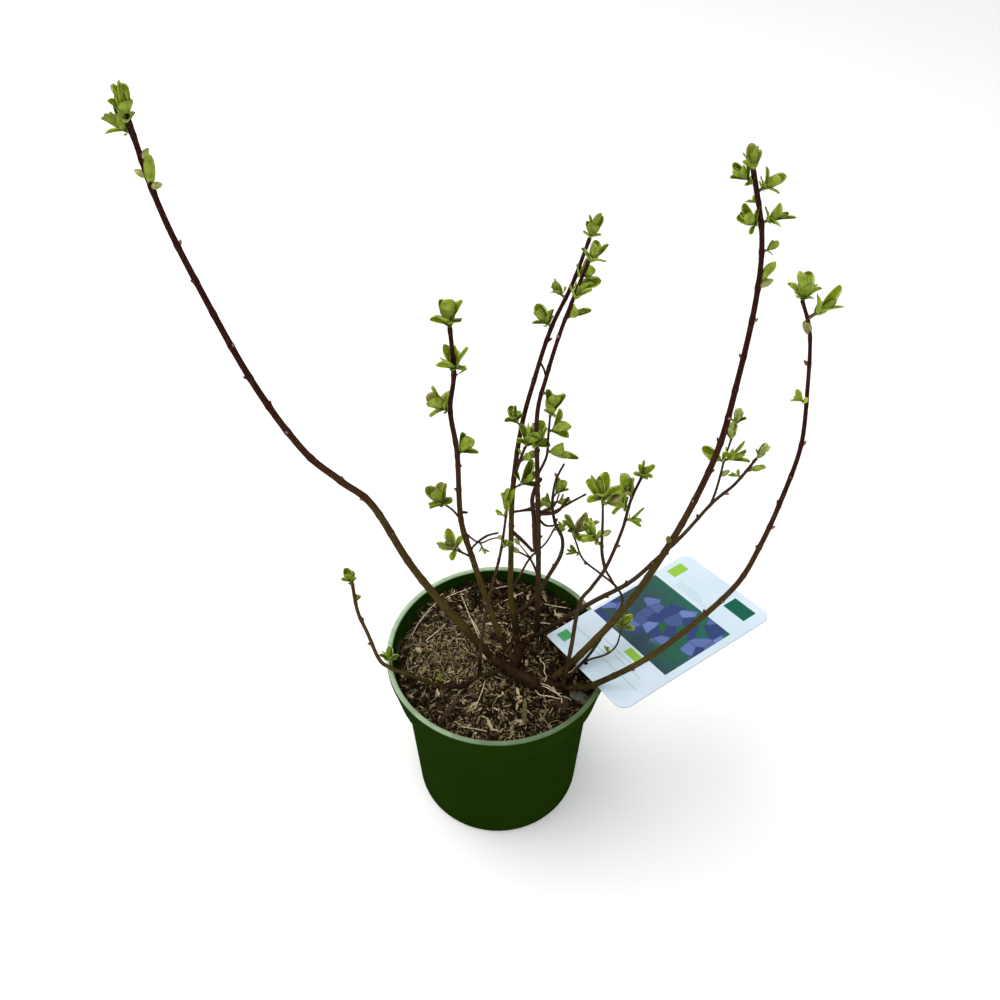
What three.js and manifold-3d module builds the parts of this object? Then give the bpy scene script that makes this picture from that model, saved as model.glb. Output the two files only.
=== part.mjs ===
// A young blueberry bush in a green nursery pot, in early spring: nearly bare canes with tufts of
// small fresh leaves, bark compost in the pot and a plain postcard label held under the canes.
// Millimetres, +Z up. The origin is the centre of the pot's flat underside.

import * as THREE from 'three';
import { mergeVertices } from 'three/addons/utils/BufferGeometryUtils.js';
import Module from 'manifold-3d';

const wasm = await Module();
wasm.setup();

// The pot
const potHeight = 170;
const rimRadius = 90;
const rimLip = 4.3;
const rimBand = 5.5;
const rimOverhang = 0.7;
const rimEdge = 1;
const throatRadius = 83.8;
const throatDepth = 10;
const collarDepth = 34;
const collarRadius = 84.4;
const collarStep = 1.5;
const bodyRadius = 77.8;
const baseRadius = 71;
const baseCorner = 3;
const wall = 1.8;
const drainHoles = 8;
const drainRadius = 4;
const drainCircle = 54;
const potFacets = 40;
const drillFacets = 10;

// The compost is level near the plant's centre and uneven beyond it
const soilTop = 151;
const soilRadius = 82.6;
const soilEdgeDrop = 3;
const soilRings = 5;
const soilRelief = 2;
const soilSwell = 9;
const plantCentre = [28, -5];
const levelReach = 28;
const unevenReach = 62;

// The label, a postcard with three round corners, one square one and a tie hole by a short edge
const labelLength = 148;
const labelWidth = 105;
const labelThickness = 0.8;
const labelCorner = 9;
const labelSquareCorner = 1.5;
const tieHoleRadius = 1.8;
const tieHoleInset = 7;
const tieHolePlace = 0.45 * labelWidth;
const labelFacets = 5;
const labelCornerPoint = [40.1, 15.6, 166.6];
const labelYaw = 32.3;
const labelPitch = 5.6;
const labelRoll = 11.8;

// Fits
const gap = 0.3;
const leafClearance = 0.45;
const finestDetail = 0.06;

// Limbs and twigs
const limbSides = 6;
const twigSides = 3;
const crownSides = 8;
const stepLength = 18;
const frameStep = 2;

// Leaves, as shares of a leaf's length
const leafWidths = [0.74, 0.5];
const leafThickness = 0.055;
const leastLeafThickness = 0.5;
const widestAt = 0.5;

// Tufts: angles in degrees, the rest as shares of the spur, the leaf or the opening. Each pair holds
// the value at a tuft's outermost leaf and at its innermost
const goldenTurn = 137.5;
const swayTurn = 8;
const swayRise = 6;
const leafSizes = [0.9, 1.1];
const leafShares = [0.72, 1];
const leafSeats = [0.55, 0.95];
const openings = [1.25, 0.65];
const leafLift = 0.35;
const spurRadiusLeast = 0.45;
const spurRadiusMost = 1;
const spurRadiusByLeaf = 1 / 30;
const spurTaper = 0.8;
const firstSeed = 1000;
const seedStep = 37;

const rad = THREE.MathUtils.degToRad;
const lerp = THREE.MathUtils.lerp;

// The crown is the old woody stool that the canes rise from: a leaning log with two short spurs
const crownLogs = [
  { root: [5, -6, soilTop + 2], course: [[12, -37, 4], [12, -36, 2], [12, -34, 0]], radii: [5.4, 5.2] },
  { root: [14, -8, soilTop + 1], course: [[13, 80, 5], [14, 72, 2]], radii: [4.2, 4.0] },
  { root: [33, -27, soilTop + 1.5], course: [[11, 14, 8], [11, -3, 4]], radii: [4.0, 3.6] },
];

// A limb has a root point, a course of stretches [length, azimuth, elevation], its radius at the
// root and at the tip, and how much of its foot belongs to the crown. Azimuth 0 is +X, 90 is +Y.
// A branch starts on its parent limb, which it meets with the usual gap.
const limbs = [
  {
    name: 'cane_far_left', root: [8.8, -9.3, 154.5], foot: 18, radii: [3.3, 1.6], leafy: 445,
    course: [[16, 163, 36], [52, 166, 54], [61, 166, 58], [65, 169, 67], [31, 176, 48], [35, 171, 47],
      [59, 167, 63], [76, 167, 72], [52, 167, 76], [55, 168, 84]],
  },
  {
    name: 'cane_left', root: [15.2, -5.1, 155.5], foot: 16, radii: [2.6, 1.4], leafy: 212,
    course: [[28, 148, 59], [36, 156, 73], [56, 168, 77], [40, 167, 79], [63, -133, 89], [36, 144, 83],
      [29, 39, 82], [41, 147, 87]],
  },
  {
    name: 'cane_middle_left', root: [17, 15, 155], foot: 10, radii: [2.5, 1.2], leafy: 288,
    course: [[47, 120, 75], [56, 100, 87], [63, 45, 89], [53, 45, 82], [37, 45, 72], [40, 40, 69],
      [31, 40, 57], [33, 40, 65]],
  },
  {
    name: 'cane_middle', root: [33, 27, soilTop + gap], radii: [2.4, 1.1], leafy: 312,
    course: [[61, -120, 89], [73, -120, 87], [62, -140, 87], [51, -140, 88], [29, 30, 78], [31, 20, 76],
      [28, 20, 72], [27, 20, 70]],
  },
  {
    name: 'cane_right', root: [44, -21, 157], foot: 14, radii: [3.1, 1.3], leafy: 366,
    course: [[30, 3, 55], [61, 11, 57], [51, 12, 65], [55, 14, 70], [57, 12, 77], [56, 12, 86],
      [58, 10, 89], [42, -170, 84], [41, 160, 73]],
  },
  {
    name: 'cane_far_right', root: [54.4, -28.2, 155.5], foot: 12, radii: [2.6, 0.9], leafy: 350,
    course: [[21, -49, 46], [20, -29, 48], [52, -19, 53], [51, -17, 60], [58, -8, 63], [43, -7, 77],
      [48, -5, 83], [36, -1, 87], [39, 175, 83], [36, 176, 80], [22, 169, 68]],
  },
  {
    name: 'cane_back_right', root: [20, 16, 155], foot: 10, radii: [2.3, 1.0], leafy: 216,
    course: [[29, -8, 49], [48, 2, 43], [36, 10, 32], [31, 24, 38], [25, 20, 45], [36, 10, 59],
      [23, 10, 49], [28, 5, 64]],
  },
  {
    name: 'cane_over_rim', root: [12, -6, 157], foot: 14, radii: [1.8, 1.3], leafy: 178,
    course: [[19, -150, 3], [12, -172, -10], [14, -145, -8], [19, -178, 6], [27, 176, 24], [17, 176, 31],
      [11, 160, 40], [28, 150, 74], [26, 170, 78], [33, 150, 88]],
  },
  {
    name: 'cane_fork', root: [52, -28, 157], foot: 10, radii: [1.9, 0.9], leafy: 184,
    course: [[56, -60, 83], [52, 10, 86], [18, 20, 61], [20, 25, 58], [35, 20, 75], [27, 20, 82],
      [23, 15, 74]],
  },
  {
    name: 'cane_thin', root: [54, -22, 157], foot: 8, radii: [1.3, 0.7], leafy: 142,
    course: [[21, -55, 66], [23, 42, 25], [27, 41, 48], [19, 44, 48], [16, 150, 69], [17, 150, 28],
      [17, 150, 27], [16, 140, 61], [14, 140, 66]],
  },
  {
    name: 'branch_back', on: 'cane_middle_left', at: 31, radii: [2.1, 0.8], leafy: 106,
    course: [[15, 42, -1], [18, 42, 27], [14, 20, 66], [25, 15, 67], [32, -90, 71], [18, 175, 70],
      [19, 150, 80], [23, 40, 85], [17, 20, 68]],
  },
  {
    name: 'branch_low_left', on: 'cane_over_rim', at: 30, radii: [1.6, 0.8], leafy: 143,
    course: [[55, -30, 86], [47, 13, 82], [41, 19, 79], [39, 8, 84], [14, -4, 88]],
  },
];

// A shoot is a mass of foliage. It grows on from a limb's tip, or from a limb's side along a course
// of its own. Each tuft is [place along the stem, azimuth, rise, length of its spur, leaves,
// leaf length, opening angle].
const shoots = [
  {
    name: 'leaves_far_left_top', tipOf: 'cane_far_left',
    tufts: [[456, 10, 75, 4, 1, 17, 10], [459, -10, 20, 3, 1, 5, 10], [465, 190, 40, 3, 1, 5, 20],
      [475, 20, 50, 3, 1, 5, 15], [489, 185, 42, 6, 6, 15, 46], [495, 170, 82, 7, 5, 17, 18]],
  },
  {
    name: 'leaves_left_top', tipOf: 'cane_left',
    tufts: [[222, 10, 50, 4, 4, 17, 42], [258, 180, 40, 6, 6, 18, 45], [286, -10, 35, 3, 1, 8, 10],
      [288, 90, 80, 4, 6, 17, 56], [320, 130, 80, 6, 7, 18, 42]],
  },
  {
    name: 'leaves_left_middle', on: 'cane_left', at: 159, radii: [0.9, 0.7],
    course: [[11, -170, 63], [10, -170, 52]],
    tufts: [[20, 180, 55, 4, 7, 18, 60]],
  },
  {
    name: 'leaves_left_low', on: 'cane_left', at: 120, radii: [0.9, 0.7],
    course: [[7, -170, 43], [9, -170, 40]],
    tufts: [[10, 150, 50, 14, 2, 6, 15], [15, 180, 50, 3, 6, 16, 60]],
  },
  {
    name: 'leaves_middle_left_top', tipOf: 'cane_middle_left',
    tufts: [[297, 170, 50, 5, 5, 15, 42], [318, 190, 50, 6, 4, 12, 30], [325, -20, 20, 5, 2, 15, 30],
      [333, 0, 30, 4, 5, 13, 50], [357, 20, 75, 6, 5, 15, 26]],
  },
  {
    name: 'leaves_middle_left_upper', on: 'cane_middle_left', at: 222, radii: [0.8, 0.6],
    course: [[4, 200, 55], [4, 200, 65]],
    tufts: [[6, 200, 60, 3, 5, 13, 42]],
  },
  {
    name: 'leaves_middle_left_fork', on: 'cane_middle_left', at: 176, radii: [1.4, 0.9],
    course: [[21, -60, 72], [21, -40, 74]],
    tufts: [[24, 20, 20, 4, 3, 13, 50], [39, 10, 65, 5, 7, 19, 56]],
  },
  {
    name: 'leaves_middle_left_low', on: 'cane_middle_left', at: 168, radii: [0.8, 0.6],
    course: [[4, -20, 40], [4, -10, 40]],
    tufts: [[6, 0, 40, 3, 4, 20, 36]],
  },
  {
    name: 'leaves_middle_left_side', on: 'cane_middle_left', at: 144, radii: [0.7, 0.5],
    course: [[8, 0, 15], [8, 10, 10]],
    tufts: [[14, 0, 15, 3, 3, 10, 25]],
  },
  {
    name: 'leaves_middle_top', tipOf: 'cane_middle',
    tufts: [[320, 0, 30, 4, 3, 13, 40], [332, 0, 60, 4, 4, 14, 42], [358, 0, 50, 4, 5, 14, 45]],
  },
  {
    name: 'leaves_middle_right', on: 'cane_middle', at: 190, radii: [1.1, 0.7],
    course: [[19, 0, 72], [18, 0, 88], [21, 0, 88]],
    tufts: [[24, 0, -20, 3, 2, 19, 26], [34, 185, 30, 5, 4, 14, 45], [42, -10, 25, 3, 3, 18, 35],
      [55, 10, 75, 4, 5, 19, 28]],
  },
  {
    name: 'leaves_right_top', tipOf: 'cane_right',
    tufts: [[376, 10, 60, 5, 1, 15, 12], [378, 0, 20, 3, 1, 6, 20], [400, 0, 30, 4, 3, 8, 40],
      [416, 180, 25, 5, 5, 12, 42], [418, 0, 28, 6, 5, 12, 45], [430, 190, 10, 3, 2, 6, 40],
      [436, 0, 28, 6, 5, 12, 48], [441, 180, 28, 6, 5, 11, 45], [446, 160, 74, 5, 6, 12, 38]],
  },
  {
    name: 'leaves_far_right_top', tipOf: 'cane_far_right',
    tufts: [[359, 180, 30, 4, 3, 8, 50], [402, 180, 60, 3, 3, 9, 25], [414, 0, 45, 7, 4, 15, 36],
      [424, 100, 72, 3, 7, 14, 54]],
  },
  {
    name: 'leaves_back_right_top', tipOf: 'cane_back_right',
    tufts: [[236, 180, 20, 3, 2, 8, 30], [242, 0, 10, 4, 2, 11, 25], [254, 5, 62, 4, 4, 10, 22]],
  },
  {
    name: 'leaves_back_right_fork', on: 'cane_back_right', at: 203, radii: [1.0, 0.7],
    course: [[10, 60, 38], [17, 40, 83], [15, 20, 88], [17, 10, 84], [17, 10, 85]],
    tufts: [[27, 10, 20, 3, 1, 5, 15], [41, 180, 30, 3, 2, 16, 40], [42, 0, 25, 4, 4, 17, 50],
      [60, 90, 82, 3, 4, 11, 22], [74, 0, 82, 3, 4, 11, 22]],
  },
  {
    name: 'leaves_over_rim_top', tipOf: 'cane_over_rim',
    tufts: [[184, 0, 75, 3, 2, 9, 12], [205, 170, 80, 3, 5, 12, 30]],
  },
  {
    name: 'leaves_over_rim_middle', on: 'cane_over_rim', at: 107, radii: [0.8, 0.6],
    course: [[3, 100, 60], [3, 100, 60]],
    tufts: [[5, 100, 65, 3, 5, 12, 46]],
  },
  {
    name: 'leaves_over_rim_low', on: 'cane_over_rim', at: 64, radii: [0.7, 0.5],
    course: [[2.5, 90, 75], [2.5, 90, 75]],
    tufts: [[4, 90, 80, 2, 4, 6, 45]],
  },
  {
    name: 'leaves_low_left_top', tipOf: 'branch_low_left',
    tufts: [[149, -10, 50, 3, 3, 9, 40], [181, 190, 30, 3, 2, 7, 40], [183, 0, 86, 5, 3, 20, 8]],
  },
  {
    name: 'leaves_fork_top', tipOf: 'cane_fork',
    tufts: [[191, -10, 0, 3, 3, 12, 40], [202, 175, 35, 4, 5, 17, 42], [211, 180, 65, 4, 4, 18, 24],
      [228, 10, 72, 3, 6, 11, 54]],
  },
  {
    name: 'leaves_fork_left', on: 'cane_fork', at: 144, radii: [1.3, 0.7],
    course: [[17, 140, 76], [33, -120, 83], [23, -120, 81]],
    tufts: [[22, 175, 60, 14, 5, 16, 45], [34, 0, 45, 3, 1, 5, 15], [68, 0, 30, 4, 3, 14, 45],
      [70, 150, 72, 4, 6, 20, 42]],
  },
  {
    name: 'leaves_thin_top', tipOf: 'cane_thin',
    tufts: [[148, 190, 20, 3, 3, 10, 40], [164, 20, 64, 5, 5, 21, 68]],
  },
  {
    name: 'leaves_thin_side', on: 'cane_thin', at: 32, radii: [0.9, 0.6],
    course: [[8, 22, 12], [13, 10, 16], [11, 39, 15], [14, 69, 33]],
    tufts: [[22, 90, 60, 2, 2, 6, 50], [45, 60, 70, 3, 6, 14, 58]],
  },
  {
    name: 'leaves_back_top', tipOf: 'branch_back',
    tufts: [[112, 60, 30, 3, 3, 11, 40], [136, 150, 50, 4, 5, 12, 50], [144, 0, 10, 6, 3, 9, 30],
      [149, 30, 50, 5, 4, 13, 35]],
  },
  {
    name: 'twig_back', on: 'cane_middle_left', at: 56, radii: [1.1, 0.7],
    course: [[18, 30, 61], [16, 45, 45], [17, 40, 20], [15, 50, 38]],
    tufts: [[34, 150, 50, 18, 1, 4, 10], [63, 0, 20, 3, 2, 8, 35]],
  },
  {
    name: 'twig_middle', on: 'cane_middle', at: 78, radii: [1.1, 0.7],
    course: [[19, 160, 67], [12, 160, 24]],
    tufts: [[29, 160, 30, 3, 1, 5, 15]],
  },
  {
    name: 'twig_left', on: 'cane_left', at: 147, radii: [0.8, 0.5],
    course: [[14, -20, -32], [9, 10, 13], [7, 10, 8]],
    tufts: [[15, -60, -40, 4, 2, 7, 25], [28, 10, 10, 2, 1, 4, 15]],
  },
];

// Solids: every piece is worked out as one closed body

function solid(geometry) {
  geometry.deleteAttribute('normal');
  geometry.deleteAttribute('uv');
  const merged = mergeVertices(geometry, 1e-4);
  const mesh = new wasm.Mesh({
    numProp: 3,
    vertProperties: new Float32Array(merged.getAttribute('position').array),
    triVerts: new Uint32Array(merged.index.array),
  });
  return new wasm.Manifold(mesh);
}

function geometryOf(body) {
  const mesh = body.getMesh();
  const geometry = new THREE.BufferGeometry();
  geometry.setAttribute('position', new THREE.BufferAttribute(mesh.vertProperties, 3));
  geometry.setIndex(new THREE.BufferAttribute(mesh.triVerts, 1));
  return geometry;
}

// Only the largest piece of a body is kept, so that a cut leaves no scrap behind
function largestPiece(body) {
  const pieces = body.decompose();
  return pieces.reduce((best, piece) => (piece.volume() > best.volume() ? piece : best));
}

// A seeded draw, the same on every run

function seededDraw(seed) {
  let state = seed;
  return (low, high) => {
    state = (state * 1664525 + 1013904223) % 4294967296;
    return low + (high - low) * state / 4294967296;
  };
}

// Growth

function direction(azimuth, elevation) {
  const flat = Math.cos(rad(elevation));
  return new THREE.Vector3(
    flat * Math.cos(rad(azimuth)),
    flat * Math.sin(rad(azimuth)),
    Math.sin(rad(elevation)),
  );
}

function grow(root, course) {
  const points = [root.clone()];
  for (const [length, azimuth, elevation] of course) {
    const next = points[points.length - 1].clone();
    next.addScaledVector(direction(azimuth, elevation), length);
    points.push(next);
  }
  return new THREE.CatmullRomCurve3(points, false, 'catmullrom', 0.5);
}

function placeAlong(curve, distance) {
  return curve.getPointAt(Math.min(distance / curve.getLength(), 1));
}

// A cylinder bent along a stretch of a curve, with a radius that tapers evenly over the whole curve

function bentLimb(curve, start, end, radii, sides, spare = 0) {
  const total = curve.getLength();
  const steps = Math.max(1, Math.round((end - start) / stepLength));
  const limb = new THREE.CylinderGeometry(1, 1, 1, sides, steps);
  const position = limb.getAttribute('position');
  const finest = Math.ceil(total / frameStep);
  const frames = curve.computeFrenetFrames(finest);
  for (let i = 0; i < position.count; i += 1) {
    const share = THREE.MathUtils.clamp((start + (end - start) * (position.getY(i) + 0.5)) / total, 0, 1);
    const centre = curve.getPointAt(share);
    const along = curve.getTangentAt(share);
    const side = frames.normals[Math.round(share * finest)].clone();
    side.addScaledVector(along, -side.dot(along)).normalize();
    const across = new THREE.Vector3().crossVectors(along, side);
    const radius = radii[0] + (radii[1] - radii[0]) * share + spare;
    centre.addScaledVector(side, radius * position.getX(i));
    centre.addScaledVector(across, -radius * position.getZ(i));
    position.setXYZ(i, centre.x, centre.y, centre.z);
  }
  return solid(limb);
}

// A leaf is a flat lens of eight faces, widest at its middle

function leafSolid(base, along, face, length, width) {
  const lens = new THREE.OctahedronGeometry(1, 0);
  const position = lens.getAttribute('position');
  const side = new THREE.Vector3().crossVectors(along, face).normalize();
  const square = new THREE.Vector3().crossVectors(side, along);
  const thick = Math.max(length * leafThickness, leastLeafThickness);
  for (let i = 0; i < position.count; i += 1) {
    const reach = position.getY(i) === 0 ? widestAt : (position.getY(i) + 1) / 2;
    const point = base.clone().addScaledVector(along, reach * length);
    point.addScaledVector(side, position.getX(i) * width / 2);
    point.addScaledVector(square, position.getZ(i) * thick / 2);
    position.setXYZ(i, point.x, point.y, point.z);
  }
  return solid(lens);
}

// A tuft is a short spur with leaves set round it by the golden angle, opening outwards and then
// turning up towards the light

function addTuft(parts, stem, tuft, draw, isFree) {
  const [place, azimuth, rise, spurLength, leaves, leafLength, opening] = tuft;
  const root = placeAlong(stem.curve, place);
  const heading = direction(azimuth + draw(-swayTurn, swayTurn), rise + draw(-swayRise, swayRise));
  const spur = new THREE.LineCurve3(root, root.clone().addScaledVector(heading, spurLength));
  const spurRadius = Math.min(spurRadiusMost, spurRadiusLeast + leafLength * spurRadiusByLeaf);
  parts.push(bentLimb(spur, 0, spurLength, [spurRadius, spurRadius * spurTaper], twigSides));
  const slanted = new THREE.Vector3(0.31, 0.23, 0.92);
  const first = new THREE.Vector3().crossVectors(heading, slanted).normalize();
  const turnStart = draw(0, 360);
  for (let i = 0; i < leaves; i += 1) {
    const out = first.clone().applyAxisAngle(heading, rad(turnStart + goldenTurn * i));
    const rank = leaves > 1 ? i / (leaves - 1) : 1;
    const spread = rad(opening * lerp(...openings, rank) + draw(-swayRise, swayRise));
    const along = heading.clone().multiplyScalar(Math.cos(spread)).addScaledVector(out, Math.sin(spread));
    along.z += leafLift;
    along.normalize();
    const face = out.clone().multiplyScalar(Math.cos(spread)).addScaledVector(heading, -Math.sin(spread));
    const base = root.clone().addScaledVector(heading, spurLength * lerp(...leafSeats, rank));
    const length = leafLength * lerp(...leafShares, rank) * draw(...leafSizes);
    const leaf = leafSolid(base, along, face, length, length * lerp(...leafWidths, rank));
    if (isFree(leaf)) parts.push(leaf);
  }
}

// Pot

const collarFoot = potHeight - collarDepth;

function makePot() {
  const lipInside = rimRadius - rimLip;
  const outside = [
    [0, 0],
    [baseRadius - baseCorner, 0],
    [baseRadius - 0.3 * baseCorner, 0.3 * baseCorner],
    [baseRadius, baseCorner],
    [bodyRadius, collarFoot - collarStep],
    [collarRadius, collarFoot],
    [rimRadius - rimOverhang, potHeight - rimBand - collarStep],
    [rimRadius, potHeight - rimBand],
    [rimRadius, potHeight - rimEdge],
    [rimRadius - rimEdge, potHeight],
  ];
  const inside = [
    [lipInside + rimEdge, potHeight],
    [lipInside, potHeight - rimEdge],
    [throatRadius, potHeight - throatDepth],
    [collarRadius - wall, collarFoot + collarStep],
    [bodyRadius - wall, collarFoot],
    [baseRadius - wall, baseCorner + wall],
    [baseRadius - baseCorner, wall],
    [0, wall],
  ];
  let pot = solid(upright(latheOf([...outside, ...inside])));
  for (let i = 0; i < drainHoles; i += 1) {
    const turn = rad(360 * (i + 0.5) / drainHoles);
    const drill = new THREE.CylinderGeometry(drainRadius, drainRadius, 4 * wall, drillFacets);
    drill.rotateX(Math.PI / 2);
    drill.translate(drainCircle * Math.cos(turn), drainCircle * Math.sin(turn), 0);
    pot = pot.subtract(solid(drill));
  }
  return pot;
}

function latheOf(profile) {
  return new THREE.LatheGeometry(profile.map((point) => new THREE.Vector2(...point)), potFacets);
}

// Lathe profiles turn about Y, so they are stood up on Z
function upright(geometry) {
  return geometry.rotateX(Math.PI / 2);
}

// Compost

function soilHeight(x, y) {
  const away = Math.hypot(x - plantCentre[0], y - plantCentre[1]);
  const uneven = THREE.MathUtils.smoothstep(away, levelReach, unevenReach);
  const waves = Math.sin(x / soilSwell) * Math.cos(y / soilSwell);
  return soilTop + soilRelief * uneven * (waves - 1) / 2;
}

function makeSoil() {
  const clear = wall + gap;
  const outline = [
    [0, clear],
    [baseRadius - clear - baseCorner, clear],
    [baseRadius - clear, baseCorner + clear],
    [bodyRadius - clear, collarFoot - collarStep],
    [bodyRadius - clear, collarFoot + collarStep],
    [collarRadius - clear, collarFoot + 2 * collarStep],
    [soilRadius, soilTop - soilEdgeDrop],
  ];
  for (let i = 0; i <= soilRings; i += 1) {
    outline.push([soilRadius * (1 - i / soilRings), soilTop]);
  }
  const soil = upright(latheOf(outline));
  const position = soil.getAttribute('position');
  for (let i = 0; i < position.count; i += 1) {
    if (position.getZ(i) > soilTop - soilEdgeDrop / 2) {
      position.setZ(i, soilHeight(position.getX(i), position.getY(i)));
    }
  }
  return solid(soil);
}

// Label

function makeLabel() {
  const card = new THREE.Shape();
  const r = labelCorner;
  card.moveTo(labelSquareCorner, 0);
  card.lineTo(labelLength - r, 0);
  card.absarc(labelLength - r, r, r, -Math.PI / 2, 0, false);
  card.lineTo(labelLength, labelWidth - r);
  card.absarc(labelLength - r, labelWidth - r, r, 0, Math.PI / 2, false);
  card.lineTo(r, labelWidth);
  card.absarc(r, labelWidth - r, r, Math.PI / 2, Math.PI, false);
  card.lineTo(0, labelSquareCorner);
  const hole = new THREE.Path();
  hole.absarc(tieHoleInset, tieHolePlace, tieHoleRadius, 0, 2 * Math.PI, true);
  card.holes.push(hole);
  const slab = new THREE.ExtrudeGeometry(card, {
    depth: labelThickness,
    bevelEnabled: false,
    curveSegments: labelFacets,
  });
  slab.translate(0, 0, -labelThickness / 2);
  // Length runs along the card, width across it towards the viewer, the printed face is up
  const along = direction(labelYaw, labelPitch);
  const level = new THREE.Vector3(Math.sin(rad(labelYaw)), -Math.cos(rad(labelYaw)), 0);
  const up = new THREE.Vector3().crossVectors(level, along);
  const across = level.clone().multiplyScalar(Math.cos(rad(labelRoll)));
  across.addScaledVector(up, Math.sin(rad(labelRoll)));
  const face = new THREE.Vector3().crossVectors(along, across);
  const turn = new THREE.Matrix4().makeBasis(along, across, face);
  slab.applyMatrix4(turn);
  slab.translate(...labelCornerPoint);
  return solid(slab);
}

// Limbs

const stems = new Map();

function limbCurve(limb) {
  const root = limb.on ? placeAlong(stems.get(limb.on).curve, limb.at) : new THREE.Vector3(...limb.root);
  return grow(root, limb.course);
}

for (const limb of limbs) {
  const curve = limbCurve(limb);
  stems.set(limb.name, { ...limb, curve, length: curve.getLength() });
}

// A limb's own stretch of its curve runs from the crown or its parent to where its leafy tip begins

function ownStretch(stem, spare = 0) {
  const start = stem.foot ? stem.foot + gap : 0;
  return bentLimb(stem.curve, start, stem.leafy - gap, stem.radii, limbSides, spare);
}

// The crown's logs and the feet of its canes are one body, cut flat just over the compost

function makeCrown() {
  const pieces = crownLogs.map((log) => {
    const curve = grow(new THREE.Vector3(...log.root), log.course);
    return bentLimb(curve, 0, curve.getLength(), log.radii, crownSides);
  });
  for (const stem of stems.values()) {
    if (stem.foot) pieces.push(bentLimb(stem.curve, 0, stem.foot, stem.radii, limbSides));
  }
  const crown = pieces.reduce((sum, piece) => sum.add(piece));
  const above = new THREE.BoxGeometry(2 * rimRadius, 2 * rimRadius, rimRadius);
  above.translate(0, 0, soilTop + gap + rimRadius / 2);
  return largestPiece(crown.intersect(solid(above)));
}

function makeLimb(stem) {
  const limb = ownStretch(stem);
  return stem.on ? largestPiece(limb.subtract(ownStretch(stems.get(stem.on), gap))) : limb;
}

// Foliage

function makeShoot(shoot, seed, obstacles) {
  const draw = seededDraw(seed);
  const parent = stems.get(shoot.tipOf ?? shoot.on);
  const stem = shoot.tipOf ? parent : { ...shoot, curve: limbCurve(shoot) };
  const start = shoot.tipOf ? parent.leafy : 0;
  const length = stem.curve.getLength();
  const parts = [bentLimb(stem.curve, start, length, stem.radii, twigSides)];
  const isFree = (leaf) => obstacles.every((other) => leaf.minGap(other, 1) > leafClearance);
  for (const tuft of shoot.tufts) addTuft(parts, stem, tuft, draw, isFree);
  let mass = parts.reduce((sum, part) => sum.add(part));
  if (shoot.on) mass = mass.subtract(ownStretch(parent, gap));
  return largestPiece(mass).simplify(finestDetail);
}

// Assembly

const finishes = {
  pot: { color: 0x24551c, roughness: 0.55, metalness: 0 },
  soil: { color: 0x4a3a2a, roughness: 0.95, metalness: 0 },
  label: { color: 0xdfeaf0, roughness: 0.35, metalness: 0 },
  bark: { color: 0x4a2f22, roughness: 0.7, metalness: 0 },
  leaf: { color: 0x86a63c, roughness: 0.6, metalness: 0 },
};

const bush = new THREE.Group();

function addPiece(name, body, finish) {
  const mesh = new THREE.Mesh(geometryOf(body), new THREE.MeshStandardMaterial(finishes[finish]));
  mesh.name = name;
  bush.add(mesh);
  return body;
}

const solids = [
  addPiece('pot', makePot(), 'pot'),
  addPiece('compost', makeSoil(), 'soil'),
  addPiece('label_card', makeLabel(), 'label'),
  addPiece('crown', makeCrown(), 'bark'),
];

for (const stem of stems.values()) {
  solids.push(addPiece(stem.name, makeLimb(stem), 'bark'));
}

shoots.forEach((shoot, index) => {
  const mass = makeShoot(shoot, firstSeed + seedStep * index, solids);
  solids.push(addPiece(shoot.name, mass, 'leaf'));
});

export default bush;
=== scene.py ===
from bisect import bisect
from math import cos, exp, hypot, pi, radians, sin, sqrt
import bmesh
import bpy
from mathutils import Matrix, Vector, kdtree, noise


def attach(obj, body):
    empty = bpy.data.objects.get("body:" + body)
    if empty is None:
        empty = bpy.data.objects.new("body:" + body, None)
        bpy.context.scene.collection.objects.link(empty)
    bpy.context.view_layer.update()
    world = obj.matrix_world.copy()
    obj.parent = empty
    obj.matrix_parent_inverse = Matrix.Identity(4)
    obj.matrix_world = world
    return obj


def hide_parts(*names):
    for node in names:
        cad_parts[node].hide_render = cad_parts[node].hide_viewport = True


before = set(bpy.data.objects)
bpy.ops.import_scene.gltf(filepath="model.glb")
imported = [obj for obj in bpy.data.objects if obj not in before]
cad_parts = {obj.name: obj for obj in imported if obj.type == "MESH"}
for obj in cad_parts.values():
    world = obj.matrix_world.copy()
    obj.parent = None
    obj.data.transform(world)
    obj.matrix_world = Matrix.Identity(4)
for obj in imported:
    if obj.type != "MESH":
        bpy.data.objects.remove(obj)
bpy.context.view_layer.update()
mm = 0.001  # sizes below are millimetres in the part's frame, and turn into metres when a piece is made


# ---- shader sums as plain expressions

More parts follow.
